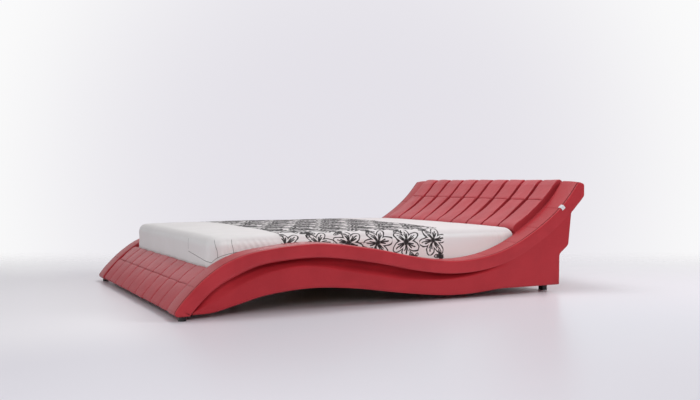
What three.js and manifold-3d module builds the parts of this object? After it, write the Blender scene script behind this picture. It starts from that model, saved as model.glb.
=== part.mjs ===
// Leather platform bed. A thick upholstered ribbon runs down each side in one long wave, channelled
// pads lie between the ribbons at the foot and at the head, and a slatted base carries the mattress.
// X runs across the bed, Y from the foot to the head and Z up, in millimetres.
// The origin is on the floor under the middle of the bed.

import * as THREE from "three";
import { mergeVertices } from "three/addons/utils/BufferGeometryUtils.js";
import Module from "manifold-3d";

const wasm = await Module();
wasm.setup();

// Clearances
const touchGap = 0.3;
const mattressSideGap = 10;
const mattressEndGap = 6;
const padSideGap = 6;
const rowGap = 1;
const boltClearance = 0.4;
const cutOverrun = 2;

// Mattress
const mattressWidth = 1600;
const mattressLength = 2000;
const mattressHeight = 196;
const mattressCrown = 13;
const mattressEdgeRadius = 44;
const mattressCornerRadius = 70;
const mattressWaist = 5;

// Foot and head ends: how far each reaches past the mattress gap, and how high its underside is
const footDepth = 218;
const headDepth = 426;
const footClearance = 22;
const headClearance = 45;

// Side ribbons
const ribbonWidth = 155;
const ribbonThickness = 76;
const ribbonSwell = 12;
const ribbonEdgeRadius = 8;
const noseRadius = 19;
const noseSlope = THREE.MathUtils.degToRad(50.6);
const crestHeight = 686;
const crestDepth = 43;
const crestFall = 10;
const crestRadius = 14;

// Skirts under the ribbons, hollowed behind the ribbon's lower edge
const skirtHollowTop = 55;
const skirtHollowBottom = 20;
const coreThickness = 22;

// Back of the headboard: a leg part, a slanting step and an upper body
const legInset = 204;
const legLean = 2;
const legHeight = 236;
const stepInset = 130;
const stepRise = 54;
const bodyInset = 108;
const bodyMargin = 15;
const stepRadius = 18;
const coverThickness = 4;

// Pads
const channelCount = 9;
const footPadSink = 6;
const footPadThickness = 40;
const footGrooveDepth = 6;
const footPadHeel = 28;
const headPadRise = 35;
const headPadThickness = 45;
const headGrooveDepth = 21;
const headPadLift = 6;
const headRoll = 42;
const headSeatDrop = 26;

// Slatted base
const slatTop = 200;
const slatCount = 14;
const slatWidth = 70;
const slatThickness = 18;
const slatEdgeRadius = 4;
const strapWidth = 30;
const strapThickness = 1.5;
const ledgerWidth = 30;
const ledgerHeight = 35;
const beamWidth = 40;
const beamHeight = 40;
const hangerPlate = 2.5;
const hangerReach = 45;
const hangerLip = 12;

// Feet and legs
const glideRadius = 20;
const glideFlare = 2;
const headFootWidth = 40;
const headFootCorner = 5;
const headFootInset = 10;
const legTubeRadius = 20;
const legPlateWidth = 60;
const legPlateThickness = 4;
const legPadRadius = 25;
const legPadHeight = 12;

// Corner brackets and their bolts
const bracketPlate = 3;
const bracketReach = 42;
const bracketHeight = 70;
const bracketBase = 60;
const boltRadius = 4;
const boltGrip = 18;
const boltHeadRadius = 7.5;
const boltHeadHeight = 5.5;

// The stretch of the headboard's upper back that the cover board fills
const coverShares = [0.14, 0.94];

// How many straight steps a curve is drawn in
const noseSteps = 5;
const waveSteps = 39;
const undersideSteps = 36;
const hemSteps = 30;
const cornerSteps = 3;
const smallCornerSteps = 2;
const boltSides = 12;
const legSides = 20;

// Wave of the ribbon's top: shares of the bed's length and of the crest's height
const waveShares = [
  [0.0196, 0.163],
  [0.0584, 0.304],
  [0.1054, 0.417],
  [0.1694, 0.488],
  [0.2937, 0.526],
  [0.4255, 0.462],
  [0.5346, 0.376],
  [0.6269, 0.334],
  [0.7154, 0.362],
  [0.7944, 0.456],
  [0.8773, 0.63],
  [0.9413, 0.82],
];
// The ribbon is thicker between these shares of the bed's length
const swellShares = [0.03, 0.19];
// Skirt's bottom edge: shares of the bed's length and of the head end's clearance
const hemShares = [
  [0.0346, 0.56],
  [0.0753, 0.64],
  [0.128, 1.38],
  [0.1883, 2.22],
  [0.2805, 2.67],
  [0.3776, 2.31],
  [0.4932, 1.33],
  [0.5873, 0.69],
  [0.648, 0.56],
  [0.7003, 0.73],
  [0.7511, 1.0],
  [0.802, 1.0],
];
// The hollow behind the ribbon's lower edge runs out between these shares of the bed's length
const hollowEndShares = [0.57, 0.79];
// Section of the hollow: heights on the skirt's face, and how far it has gone there from its depth at
// the bottom to its depth at the top
const hollowShares = [[0, 0], [0.35, 0], [0.58, 0.4], [0.78, 0.9], [1, 1]];
// Section of a channel: places from its middle to its groove, and the share of the groove's depth
const channelShares = [[-1, 1], [-0.9, 0.3], [-0.6, 0], [0.6, 0], [0.9, 0.3]];
// Places lengthways on a row of pads
const rowShares = [0, 0.04, 0.13, 0.35, 0.65, 0.87, 0.96, 1];
// Thickness of a row of pads at those places
const rowSwellShares = [0.62, 0.84, 0.97, 1, 1, 0.97, 0.84, 0.62];
// Where the seam between the two rows lies on the wave under the pads
const footSeamShare = 0.62;
const headSeamShare = 0.6;
// Roll of the foot pads round the nose: places from the underside to the wave's start
const noseRollShares = [0, 0.25, 0.5, 0.75];
// Roll of the head pads over the crest: where it starts on the upper row, its directions in degrees
// and its lengths
const rollStartShare = 0.97;
const rollDirections = [118, 92, 66];
const rollLengthShares = [1, 0.95, 0.7];
// Where the centre legs stand along the beam, and where the straps cross the slats
const legPlaceShares = [0.2, 0.5, 0.8];
const strapPlaceShare = 0.5;
// Mattress: the quarter round of its edges, its crown inwards and upwards, and the points of a side
const edgeRoundShares = [0, 1 / 3, 2 / 3, 1];
const crownShares = [[0.12, 0.35], [0.4, 0.8], [0.75, 1]];
const sideShares = [0.2, 0.4, 0.6, 0.8];
const leastCornerShare = 0.25;

// Sizes that follow
const innerHalf = mattressWidth / 2 + mattressSideGap;
const outerHalf = innerHalf + ribbonWidth;
const footInner = footDepth;
const headInner = footInner + mattressEndGap + mattressLength + mattressEndGap;
const bedLength = headInner + headDepth;
const boardHalf = innerHalf - touchGap;
const coreOuter = innerHalf + coreThickness;
const ledgerTop = slatTop - slatThickness - touchGap;
const ledgerInner = boardHalf - ledgerWidth;
const mattressBottom = slatTop + touchGap + strapThickness + touchGap;

// Colours
const leatherRed = 0xa5323a;
const coverWhite = 0xe9e6e4;
const slatWood = 0xcfae7c;
const boardWood = 0xa98454;
const darkWood = 0x2b2220;
const steel = 0x8d9094;
const blackPlastic = 0x151517;
const webbingGrey = 0x55565a;

const bed = new THREE.Group();
bed.position.y = -bedLength / 2;

function addPiece(name, geometry, color, roughness, metalness = 0) {
  const material = new THREE.MeshStandardMaterial({ color, roughness, metalness });
  const mesh = new THREE.Mesh(geometry, material);
  mesh.name = name;
  bed.add(mesh);
  return mesh;
}

// The parameter between 0 and 1 at which a rising function passes zero
function solve(rising) {
  let low = 0;
  let high = 1;
  for (let step = 0; step < 40; step += 1) {
    const middle = (low + high) / 2;
    if (rising(middle) < 0) low = middle;
    else high = middle;
  }
  return (low + high) / 2;
}

const noseCentre = new THREE.Vector2(noseRadius, footClearance + noseRadius);

function nosePoint(radius, angle) {
  return new THREE.Vector2(Math.cos(angle), Math.sin(angle)).multiplyScalar(radius).add(noseCentre);
}

const noseEndAngle = (3 * Math.PI) / 2;
const waveStartAngle = Math.PI / 2 + noseSlope;
const wave = new THREE.SplineCurve([
  nosePoint(noseRadius, waveStartAngle),
  ...waveShares.map(([along, up]) => new THREE.Vector2(along * bedLength, up * crestHeight)),
  new THREE.Vector2(bedLength - crestDepth, crestHeight),
]);

// A point at a depth under the wave, square to it
function pointUnder(t, depth) {
  const point = wave.getPoint(t);
  const run = wave.getTangent(t);
  return new THREE.Vector2(point.x + depth * run.y, point.y - depth * run.x);
}

function undersidePoint(t) {
  const share = wave.getPoint(t).x / bedLength;
  const [from, to] = swellShares;
  const inside = THREE.MathUtils.clamp((share - from) / (to - from), 0, 1);
  return pointUnder(t, ribbonThickness + ribbonSwell * Math.sin(Math.PI * inside) ** 2);
}

function curvePoints(pointAt, from, to, count) {
  return Array.from({ length: count + 1 }, (_, i) => pointAt(THREE.MathUtils.lerp(from, to, i / count)));
}

// The underside from the foot to the head; the skirt and the core follow its corners
const undersideStart = solve((t) => undersidePoint(t).y - footClearance);
const undersideEnd = solve((t) => undersidePoint(t).x - bedLength);
const underside = curvePoints(undersidePoint, undersideStart, undersideEnd, undersideSteps);

// Height of a line of points at a place along the bed
function heightAt(line, y) {
  const next = Math.max(1, line.findIndex((point) => point.x >= y));
  const [before, after] = [line[next - 1], line[next]];
  return THREE.MathUtils.mapLinear(y, before.x, after.x, before.y, after.y);
}

// Replaces each corner that has a radius by a short curve
function roundCorners(corners, steps = cornerSteps) {
  return corners.flatMap(([corner, radius], i) => {
    if (!radius) return [corner];
    const ends = [corners.at(i - 1)[0], corners[(i + 1) % corners.length][0]].map((neighbour) => {
      const reach = neighbour.clone().sub(corner);
      return reach.setLength(Math.min(radius, reach.length() / 2)).add(corner);
    });
    return new THREE.QuadraticBezierCurve(ends[0], corner, ends[1]).getPoints(steps);
  });
}

// Extrudes an outline drawn in Y and Z along X, from one X to another
function acrossBed(outline, fromX, toX, bevel = 0) {
  const geometry = new THREE.ExtrudeGeometry(new THREE.Shape(outline), {
    depth: toX - fromX - 2 * bevel,
    bevelEnabled: bevel > 0,
    bevelThickness: bevel,
    bevelSize: bevel,
    bevelOffset: -bevel,
    bevelSegments: 2,
    curveSegments: 1,
  });
  const axes = new THREE.Matrix4().makeBasis(
    new THREE.Vector3(0, 1, 0),
    new THREE.Vector3(0, 0, 1),
    new THREE.Vector3(1, 0, 0),
  );
  return geometry.applyMatrix4(axes).translate(fromX + bevel, 0, 0);
}

// Extrudes an outline drawn in X and Y upwards
function upwards(outline, fromZ, toZ) {
  const geometry = new THREE.ExtrudeGeometry(new THREE.Shape(outline), {
    depth: toZ - fromZ,
    bevelEnabled: false,
    curveSegments: 1,
  });
  return geometry.translate(0, 0, fromZ);
}

// Joins rings of equal point counts into one closed skin; the first and last ring are filled
function loft(rings) {
  const size = rings[0].length;
  const positions = rings.flat().flatMap((point) => [point.x, point.y, point.z]);
  const faces = [];
  for (let ring = 0; ring < rings.length - 1; ring += 1) {
    for (let i = 0; i < size; i += 1) {
      const a = ring * size + i;
      const b = ring * size + ((i + 1) % size);
      faces.push([a, b, b + size], [a, b + size, a + size]);
    }
  }
  const last = (rings.length - 1) * size;
  ringFaces(rings[0]).forEach(([a, b, c]) => faces.push([a, c, b]));
  ringFaces(rings.at(-1)).forEach(([a, b, c]) => faces.push([a + last, b + last, c + last]));
  const geometry = new THREE.BufferGeometry();
  geometry.setAttribute("position", new THREE.Float32BufferAttribute(positions, 3));
  geometry.setIndex(facingOut(positions, faces).flat());
  return geometry;
}

// Triangles that fill a flat ring, in the ring's own direction of turn
function ringFaces(ring) {
  const normal = new THREE.Vector3();
  ring.forEach((point, i) => {
    normal.add(new THREE.Vector3().crossVectors(point, ring[(i + 1) % ring.length]));
  });
  normal.normalize();
  const side = new THREE.Vector3().subVectors(ring[1], ring[0]).normalize();
  const up = new THREE.Vector3().crossVectors(normal, side);
  const flat = ring.map((point) => new THREE.Vector2(point.dot(side), point.dot(up)));
  return THREE.ShapeUtils.triangulateShape(flat, []);
}

function facingOut(positions, faces) {
  const corner = (i) => new THREE.Vector3().fromArray(positions, 3 * i);
  const volume = faces.reduce((sum, [a, b, c]) => sum + corner(a).dot(corner(b).cross(corner(c))), 0);
  return volume > 0 ? faces : faces.map(([a, b, c]) => [a, c, b]);
}

// A box between two corners
function boxBetween(low, high) {
  const size = high.map((value, i) => value - low[i]);
  const middle = high.map((value, i) => (value + low[i]) / 2);
  return new THREE.BoxGeometry(...size).translate(...middle);
}

// A rod along any direction, starting at a point
function rod(start, direction, radius, length, sides) {
  const turn = new THREE.Quaternion().setFromUnitVectors(new THREE.Vector3(0, 1, 0), direction);
  const middle = start.clone().addScaledVector(direction, length / 2);
  const geometry = new THREE.CylinderGeometry(radius, radius, length, sides);
  return geometry.applyQuaternion(turn).translate(middle.x, middle.y, middle.z);
}

function toSolid(geometry) {
  const bare = geometry.clone();
  bare.deleteAttribute("normal");
  bare.deleteAttribute("uv");
  const merged = mergeVertices(bare);
  return new wasm.Manifold(new wasm.Mesh({
    numProp: 3,
    vertProperties: new Float32Array(merged.attributes.position.array),
    triVerts: new Uint32Array(merged.index.array),
  }));
}

function fromSolid(solid) {
  const mesh = solid.getMesh();
  const geometry = new THREE.BufferGeometry();
  geometry.setAttribute("position", new THREE.Float32BufferAttribute(mesh.vertProperties, 3));
  geometry.setIndex(Array.from(mesh.triVerts));
  return geometry;
}

function joined(...geometries) {
  return fromSolid(geometries.map(toSolid).reduce((all, next) => all.add(next)));
}

function cut(geometry, tools) {
  return fromSolid(tools.map(toSolid).reduce((body, tool) => body.subtract(tool), toSolid(geometry)));
}

// Bolts: two at each corner bracket, one into the rail and one into the end board
const bolts = [];
for (const end of [{ name: "foot", face: footInner, into: -1 }, { name: "head", face: headInner, into: 1 }]) {
  for (const side of [{ name: "left", sign: -1 }, { name: "right", sign: 1 }]) {
    const height = bracketBase + bracketHeight / 2;
    const reach = (bracketReach + bracketPlate) / 2;
    const railPlace = new THREE.Vector3(
      side.sign * (boardHalf - bracketPlate),
      end.face - end.into * (touchGap + reach),
      height,
    );
    const boardPlace = new THREE.Vector3(
      side.sign * (boardHalf - reach),
      end.face - end.into * (touchGap + bracketPlate),
      height,
    );
    const corner = `${end.name}_${side.name}`;
    bolts.push({ corner, goes: "rail", place: railPlace, into: new THREE.Vector3(side.sign, 0, 0) });
    bolts.push({ corner, goes: "board", place: boardPlace, into: new THREE.Vector3(0, end.into, 0) });
  }
}

function boltHoles(goes, corners) {
  return bolts
    .filter((bolt) => bolt.goes === goes && corners.includes(bolt.corner))
    .map(({ place, into }) => {
      const start = place.clone().addScaledVector(into, -cutOverrun);
      const length = cutOverrun + boltGrip + cutOverrun;
      return rod(start, into, boltRadius + boltClearance, length, boltSides);
    });
}

function addBolts() {
  for (const { corner, goes, place, into } of bolts) {
    const headStart = place.clone().addScaledVector(into, -touchGap - boltHeadHeight);
    const head = rod(headStart, into, boltHeadRadius, boltHeadHeight, 6);
    const shank = rod(headStart, into, boltRadius, boltHeadHeight + touchGap + boltGrip, boltSides);
    addPiece(`bolt_${corner}_${goes}`, joined(head, shank), steel, 0.35, 0.9);
  }
}

function addBrackets() {
  for (const [endName, face, into] of [["foot", footInner, -1], ["head", headInner, 1]]) {
    for (const [sideName, sign] of [["left", -1], ["right", 1]]) {
      const x = (inset) => sign * (boardHalf - inset);
      const y = (inset) => face - into * (touchGap + inset);
      const outline = [
        [touchGap, 0],
        [bracketReach, 0],
        [bracketReach, bracketPlate],
        [bracketPlate, bracketPlate],
        [bracketPlate, bracketReach],
        [touchGap, bracketReach],
      ].map(([fromRail, fromBoard]) => new THREE.Vector2(x(fromRail), y(fromBoard)));
      const plate = upwards(outline, bracketBase, bracketBase + bracketHeight);
      const corner = `${endName}_${sideName}`;
      const holes = [...boltHoles("rail", [corner]), ...boltHoles("board", [corner])];
      addPiece(`corner_bracket_${corner}`, cut(plate, holes), steel, 0.4, 0.8);
    }
  }
}

// Outline of a ribbon: rounded nose, wave, crest and underside
function ribbonOutline() {
  const nose = curvePoints((angle) => nosePoint(noseRadius, angle), noseEndAngle, waveStartAngle, noseSteps);
  const top = curvePoints((t) => wave.getPoint(t), 0, 1, waveSteps).slice(1, -1);
  return roundCorners([
    ...nose.map((point) => [point, 0]),
    ...top.map((point) => [point, 0]),
    [new THREE.Vector2(bedLength - crestDepth, crestHeight), crestRadius],
    [new THREE.Vector2(bedLength, crestHeight - crestFall), crestRadius],
    [underside.at(-1), crestRadius],
    ...underside.slice(0, -1).reverse().map((point) => [point, 0]),
  ]);
}

function addRibbons() {
  const outline = ribbonOutline();
  addPiece("ribbon_left", acrossBed(outline, -outerHalf, -innerHalf, ribbonEdgeRadius), leatherRed, 0.5);
  addPiece("ribbon_right", acrossBed(outline, innerHalf, outerHalf, ribbonEdgeRadius), leatherRed, 0.5);
}

// Back of the headboard from the floor up to the ribbon's underside
function backCorners() {
  const back = (inset) => bedLength - inset;
  return [
    [new THREE.Vector2(back(legInset), headClearance), 0],
    [new THREE.Vector2(back(legInset - legLean), legHeight), stepRadius],
    [new THREE.Vector2(back(stepInset), legHeight + stepRise), stepRadius],
    [new THREE.Vector2(back(bodyInset), heightAt(underside, back(bodyInset)) - bodyMargin), 0],
  ];
}

// Lower edge of a rail's side: the hem from the foot to the head end, then the back outline
function sideLowerEdge() {
  const hem = new THREE.SplineCurve([
    ...hemShares.map(([along, up]) => new THREE.Vector2(along * bedLength, up * headClearance)),
    new THREE.Vector2(bedLength - legInset, headClearance),
  ]);
  const back = roundCorners(backCorners(), smallCornerSteps).slice(1);
  return [...hem.getPoints(hemSteps), ...back];
}

// Upper edge of a rail's side, a touch under the ribbon's underside
function sideUpperEdge(first, last) {
  const between = underside.filter(({ x }) => x > first && x < last);
  const ends = [first, last].map((y) => new THREE.Vector2(y, heightAt(underside, y)));
  return [ends[0], ...between, ends[1]].map(({ x, y }) => new THREE.Vector2(x, y - touchGap));
}

function addRailCores() {
  const lower = sideLowerEdge().map(({ x, y }) => new THREE.Vector2(x, y + touchGap));
  const upper = sideUpperEdge(lower[0].x, lower.at(-1).x).reverse();
  for (const [name, sign] of [["left", -1], ["right", 1]]) {
    const [from, to] = [sign * innerHalf, sign * coreOuter].sort((a, b) => a - b);
    const board = acrossBed([...lower, ...upper], from, to);
    const holes = boltHoles("rail", [`foot_${name}`, `head_${name}`]);
    addPiece(`rail_core_${name}`, cut(board, holes), boardWood, 0.7);
  }
}

// A skirt is hollowed behind the ribbon's lower edge and runs flush with it at the head end
function addSkirts() {
  const lower = sideLowerEdge();
  const upper = sideUpperEdge(lower[0].x, lower.at(-1).x);
  const backStart = bedLength - legInset;
  const stations = [
    ...upper.map(({ x }) => x).filter((y) => y < backStart),
    ...lower.map(({ x }) => x).filter((y) => y >= backStart),
    ...upper.map(({ x }) => x).filter((y) => y > backStart),
  ].sort((a, b) => a - b);
  const places = stations.filter((y, i) => i === 0 || y - stations[i - 1] > touchGap);
  const [hollowFrom, hollowTo] = hollowEndShares;
  for (const [name, sign] of [["left", -1], ["right", 1]]) {
    const rings = places.map((y) => {
      const bottom = heightAt(lower, y);
      const top = heightAt(upper, y);
      const hollow = 1 - THREE.MathUtils.smoothstep(y / bedLength, hollowFrom, hollowTo);
      const face = hollowShares.map(([up, deepening]) => {
        const inset = THREE.MathUtils.lerp(skirtHollowBottom, skirtHollowTop, deepening);
        return new THREE.Vector3(
          sign * (outerHalf - hollow * inset),
          y,
          THREE.MathUtils.lerp(bottom, top, up),
        );
      });
      const inner = sign * (coreOuter + touchGap);
      return [...face, new THREE.Vector3(inner, y, top), new THREE.Vector3(inner, y, bottom)];
    });
    addPiece(`skirt_${name}`, loft(rings), leatherRed, 0.5);
  }
}

// Sections of a pad: pairs of points on its leather face and on its flat back, from foot to head
function rowSections(faceAt, backAt, from, to) {
  return rowShares.map((share, i) => {
    const place = THREE.MathUtils.lerp(from, to, share);
    const back = backAt(place);
    return { back, face: back.clone().lerp(faceAt(place), rowSwellShares[i]) };
  });
}

// A row of channels: every section is drawn across the bed with a groove between the channels
function channelPad(sections, grooveDepth, thickness) {
  const half = innerHalf - padSideGap;
  const pitch = (2 * half) / channelCount;
  const columns = [];
  for (let channel = 0; channel < channelCount; channel += 1) {
    for (const [share, drop] of channelShares) columns.push([channel, share, drop]);
  }
  columns.push([channelCount - 1, 1, 1]);
  const rings = sections.map(({ face, back }) => {
    const surface = columns.map(([channel, share, drop]) => {
      const x = (channel + (1 + share) / 2) * pitch - half;
      const height = 1 - (grooveDepth / thickness) * drop;
      const point = back.clone().lerp(face, height);
      return new THREE.Vector3(x, point.x, point.y);
    });
    const corners = [half, -half].map((x) => new THREE.Vector3(x, back.x, back.y));
    return [...surface, ...corners];
  });
  return loft(rings);
}

// Foot pads: the face follows the wave and rolls under the nose
const footFaceEnd = solve((t) => pointUnder(t, footPadSink).x - (footInner - touchGap));
const footBackDepth = footPadSink + footPadThickness;
const footBackStart = solve((t) => pointUnder(t, footBackDepth).y - noseCentre.y);
const footBackEnd = solve((t) => pointUnder(t, footBackDepth).x - footInner);

function footPadFace(share) {
  return pointUnder(THREE.MathUtils.lerp(0, footFaceEnd, share), footPadSink);
}

function footPadBack(share) {
  return pointUnder(THREE.MathUtils.lerp(footBackStart, footBackEnd, share), footBackDepth);
}

function footRollSections() {
  const heel = new THREE.Vector2(noseCentre.x + footPadHeel, noseCentre.y - noseRadius + footPadSink);
  return noseRollShares.map((share) => {
    const angle = THREE.MathUtils.lerp(noseEndAngle, waveStartAngle, share);
    return {
      face: nosePoint(noseRadius - footPadSink, angle),
      back: heel.clone().lerp(footPadBack(0), share),
    };
  });
}

function footRows() {
  const gap = rowGap / footDepth;
  const lowerRow = rowSections(footPadFace, footPadBack, 0, footSeamShare - gap);
  const full = lowerRow.map(({ back }, i) => ({ back, face: footPadFace(rowShares[i] * footSeamShare) }));
  const half = rowShares.length / 2;
  return {
    lower: [...footRollSections(), ...full.slice(0, half), ...lowerRow.slice(half)],
    upper: rowSections(footPadFace, footPadBack, footSeamShare + gap, 1),
  };
}

function addFootPads() {
  for (const [row, sections] of Object.entries(footRows())) {
    addPiece(`footboard_pad_${row}`, channelPad(sections, footGrooveDepth, footPadThickness), leatherRed, 0.5);
  }
}

// The wooden frame under the foot pads; its sloping front lies a touch behind the pads' backs
function addFootFrame() {
  const slope = padBacks(footRows()).map(({ x, y }) => new THREE.Vector2(x + touchGap, y - touchGap));
  const outline = [
    new THREE.Vector2(slope[0].x, footClearance),
    ...slope.slice(0, -1),
    new THREE.Vector2(footInner, slope.at(-1).y),
    new THREE.Vector2(footInner, footClearance),
  ];
  const holes = boltHoles("board", ["foot_left", "foot_right"]);
  addPiece("footboard_frame", cut(acrossBed(outline, -boardHalf, boardHalf), holes), darkWood, 0.7);
}

// Head pads: proud of the ribbons, from just above the mattress edge to a roll over the crest
const headFaceDepth = -headPadRise;
const headBackDepth = headPadThickness - headPadRise;
const headBackStart = solve((t) => pointUnder(t, headBackDepth).x - (headInner + headPadLift));
const headBackEnd = solve((t) => pointUnder(t, headBackDepth).y - (crestHeight - headSeatDrop));

function headPadFace(share) {
  return pointUnder(THREE.MathUtils.lerp(headBackStart, headBackEnd, share), headFaceDepth);
}

function headPadBack(share) {
  return pointUnder(THREE.MathUtils.lerp(headBackStart, headBackEnd, share), headBackDepth);
}

function headRollSections() {
  const seat = headPadBack(1);
  return rollDirections.map((degrees, i) => {
    const angle = THREE.MathUtils.degToRad(degrees);
    const back = new THREE.Vector2(seat.x + ((i + 1) * headPadLift), seat.y);
    const reach = new THREE.Vector2(Math.cos(angle), Math.sin(angle));
    return { back, face: back.clone().addScaledVector(reach, headRoll * rollLengthShares[i]) };
  });
}

function headRows() {
  const gap = rowGap / headDepth;
  const upperRow = rowSections(headPadFace, headPadBack, headSeamShare + gap, 1);
  const beforeRoll = rowShares.filter((share) => share < 1 - rowShares[2]).length;
  return {
    lower: rowSections(headPadFace, headPadBack, 0, headSeamShare - gap),
    upper: [
      ...upperRow.slice(0, beforeRoll),
      { back: headPadBack(rollStartShare), face: headPadFace(rollStartShare) },
      ...headRollSections(),
    ],
  };
}

// Backs of all sections of both rows of pads, from foot to head
function padBacks({ lower, upper }) {
  return [...lower, ...upper].map(({ back }) => back);
}

function addHeadPads() {
  for (const [row, sections] of Object.entries(headRows())) {
    addPiece(`headboard_pad_${row}`, channelPad(sections, headGrooveDepth, headPadThickness), leatherRed, 0.5);
  }
}

// The stretch of the headboard's back that the cover board fills
function coverLine(inset) {
  const [, , [low], [high]] = backCorners();
  const run = high.clone().sub(low).normalize();
  const inwards = new THREE.Vector2(-run.y, run.x).multiplyScalar(inset);
  return coverShares.map((share) => low.clone().lerp(high, share).add(inwards));
}

// The headboard's housing between the rails: upright front, sloping pad face, crest and back
function addHeadFrame() {
  const slope = padBacks(headRows()).map(({ x, y }) => new THREE.Vector2(x + touchGap, y - touchGap));
  const slant = underside.filter(({ x }) => x > bedLength - bodyInset + touchGap);
  const [coverLow, coverHigh] = coverLine(0);
  const [recessLow, recessHigh] = coverLine(coverThickness + touchGap);
  const back = backCorners();
  const corners = [
    ...back.slice(0, 3),
    ...[coverLow, recessLow, recessHigh, coverHigh].map((point) => [point, 0]),
    ...slant.map((point) => [point, 0]),
    [new THREE.Vector2(bedLength, slope.at(-1).y), crestRadius],
    ...slope.reverse().map((point) => [point, 0]),
    [new THREE.Vector2(headInner, slope.at(-1).y), 0],
    [new THREE.Vector2(headInner, headClearance), 0],
  ];
  const holes = boltHoles("board", ["head_left", "head_right"]);
  const body = acrossBed(roundCorners(corners), -boardHalf, boardHalf);
  addPiece("headboard_frame", cut(body, holes), leatherRed, 0.55);
}

function addBackCover() {
  const [outerLow, outerHigh] = coverLine(0);
  const [innerLow, innerHigh] = coverLine(coverThickness);
  const run = outerHigh.clone().sub(outerLow).setLength(touchGap);
  const outline = [outerLow.add(run), outerHigh.sub(run), innerHigh.sub(run), innerLow.add(run)];
  addPiece("headboard_back_cover", acrossBed(outline, -boardHalf, boardHalf), darkWood, 0.8);
}

// Slatted base: ledgers on the rails, cleats on the end boards, slats, straps and a centre beam
function addLedgers() {
  const bottom = ledgerTop - ledgerHeight;
  for (const [name, sign] of [["left", -1], ["right", 1]]) {
    const [from, to] = [sign * ledgerInner, sign * boardHalf].sort((a, b) => a - b);
    const low = [from, footInner + touchGap, bottom];
    const high = [to, headInner - touchGap, ledgerTop];
    addPiece(`slat_ledger_${name}`, boxBetween(low, high), boardWood, 0.7);
  }
  const half = ledgerInner - touchGap;
  for (const [name, face, into] of [["foot", footInner, 1], ["head", headInner, -1]]) {
    const ys = [face + into * touchGap, face + into * (touchGap + ledgerWidth)].sort((a, b) => a - b);
    addPiece(`${name}_cleat`, boxBetween([-half, ys[0], bottom], [half, ys[1], ledgerTop]), boardWood, 0.7);
  }
}

function roundedBar(width, height, radius) {
  const corners = [[-1, -1], [1, -1], [1, 1], [-1, 1]].map(([x, y]) => (
    [new THREE.Vector2((x * width) / 2, (y * height) / 2), radius]
  ));
  return roundCorners(corners, smallCornerSteps);
}

function addSlats() {
  const length = headInner - footInner - 2 * mattressEndGap;
  const firstMiddle = footInner + mattressEndGap + slatWidth / 2;
  const pitch = (length - slatWidth) / (slatCount - 1);
  const section = roundedBar(slatWidth, slatThickness, slatEdgeRadius);
  for (let i = 0; i < slatCount; i += 1) {
    const middle = new THREE.Vector2(firstMiddle + i * pitch, slatTop - slatThickness / 2);
    const outline = section.map((point) => point.clone().add(middle));
    const name = `slat_${String(i + 1).padStart(2, "0")}`;
    addPiece(name, acrossBed(outline, -boardHalf, boardHalf), slatWood, 0.55);
  }
}

function addStraps() {
  const bottom = slatTop + touchGap;
  for (const [name, sign] of [["left", -1], ["right", 1]]) {
    const middle = sign * strapPlaceShare * innerHalf;
    const low = [middle - strapWidth / 2, footInner + mattressEndGap, bottom];
    const high = [middle + strapWidth / 2, headInner - mattressEndGap, bottom + strapThickness];
    addPiece(`slat_strap_${name}`, boxBetween(low, high), webbingGrey, 0.9);
  }
}

// The centre beam hangs in a steel shoe at each cleat and stands on three legs
const beamStart = footInner + touchGap + ledgerWidth + touchGap + hangerPlate + touchGap;
const beamEnd = headInner - touchGap - ledgerWidth - touchGap - hangerPlate - touchGap;
const beamBottom = ledgerTop - beamHeight;

function addBeam() {
  const low = [-beamWidth / 2, beamStart, beamBottom];
  addPiece("centre_beam", boxBetween(low, [beamWidth / 2, beamEnd, ledgerTop]), boardWood, 0.7);
  const inner = beamWidth / 2 + touchGap;
  const outer = inner + hangerPlate;
  const base = beamBottom - touchGap;
  for (const [name, start, into] of [["foot", beamStart, 1], ["head", beamEnd, -1]]) {
    const plateFrom = start - into * (touchGap + hangerPlate);
    const plateTo = start - into * touchGap;
    const shoeTo = start + into * hangerReach;
    const span = (x, ys, z) => {
      const [low, high] = [...ys].sort((a, b) => a - b);
      return boxBetween([x[0], low, z[0]], [x[1], high, z[1]]);
    };
    const heights = [base - hangerPlate, ledgerTop - touchGap];
    const shoe = joined(
      span([-outer - hangerLip, outer + hangerLip], [plateFrom, plateTo], heights),
      span([-outer, outer], [plateFrom, shoeTo], [base - hangerPlate, base]),
      span([-outer, -inner], [plateFrom, shoeTo], heights),
      span([inner, outer], [plateFrom, shoeTo], heights),
    );
    addPiece(`beam_hanger_${name}`, shoe, steel, 0.4, 0.8);
  }
}

function addCentreLegs() {
  const top = beamBottom - touchGap;
  const plateBottom = top - legPlateThickness;
  legPlaceShares.forEach((share, i) => {
    const y = THREE.MathUtils.lerp(beamStart, beamEnd, share);
    const half = legPlateWidth / 2;
    const plate = boxBetween([-half, y - half, plateBottom], [half, y + half, top]);
    const profile = [
      [0, 0],
      [legPadRadius, 0],
      [legPadRadius, legPadHeight],
      [legTubeRadius, legPadHeight],
      [legTubeRadius, plateBottom + legPlateThickness / 2],
      [0, plateBottom + legPlateThickness / 2],
    ].map(([radius, z]) => new THREE.Vector2(radius, z));
    const tube = new THREE.LatheGeometry(profile, legSides).rotateX(Math.PI / 2).translate(0, y, 0);
    addPiece(`centre_leg_${i + 1}`, joined(plate, tube), blackPlastic, 0.6);
  });
}

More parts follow.
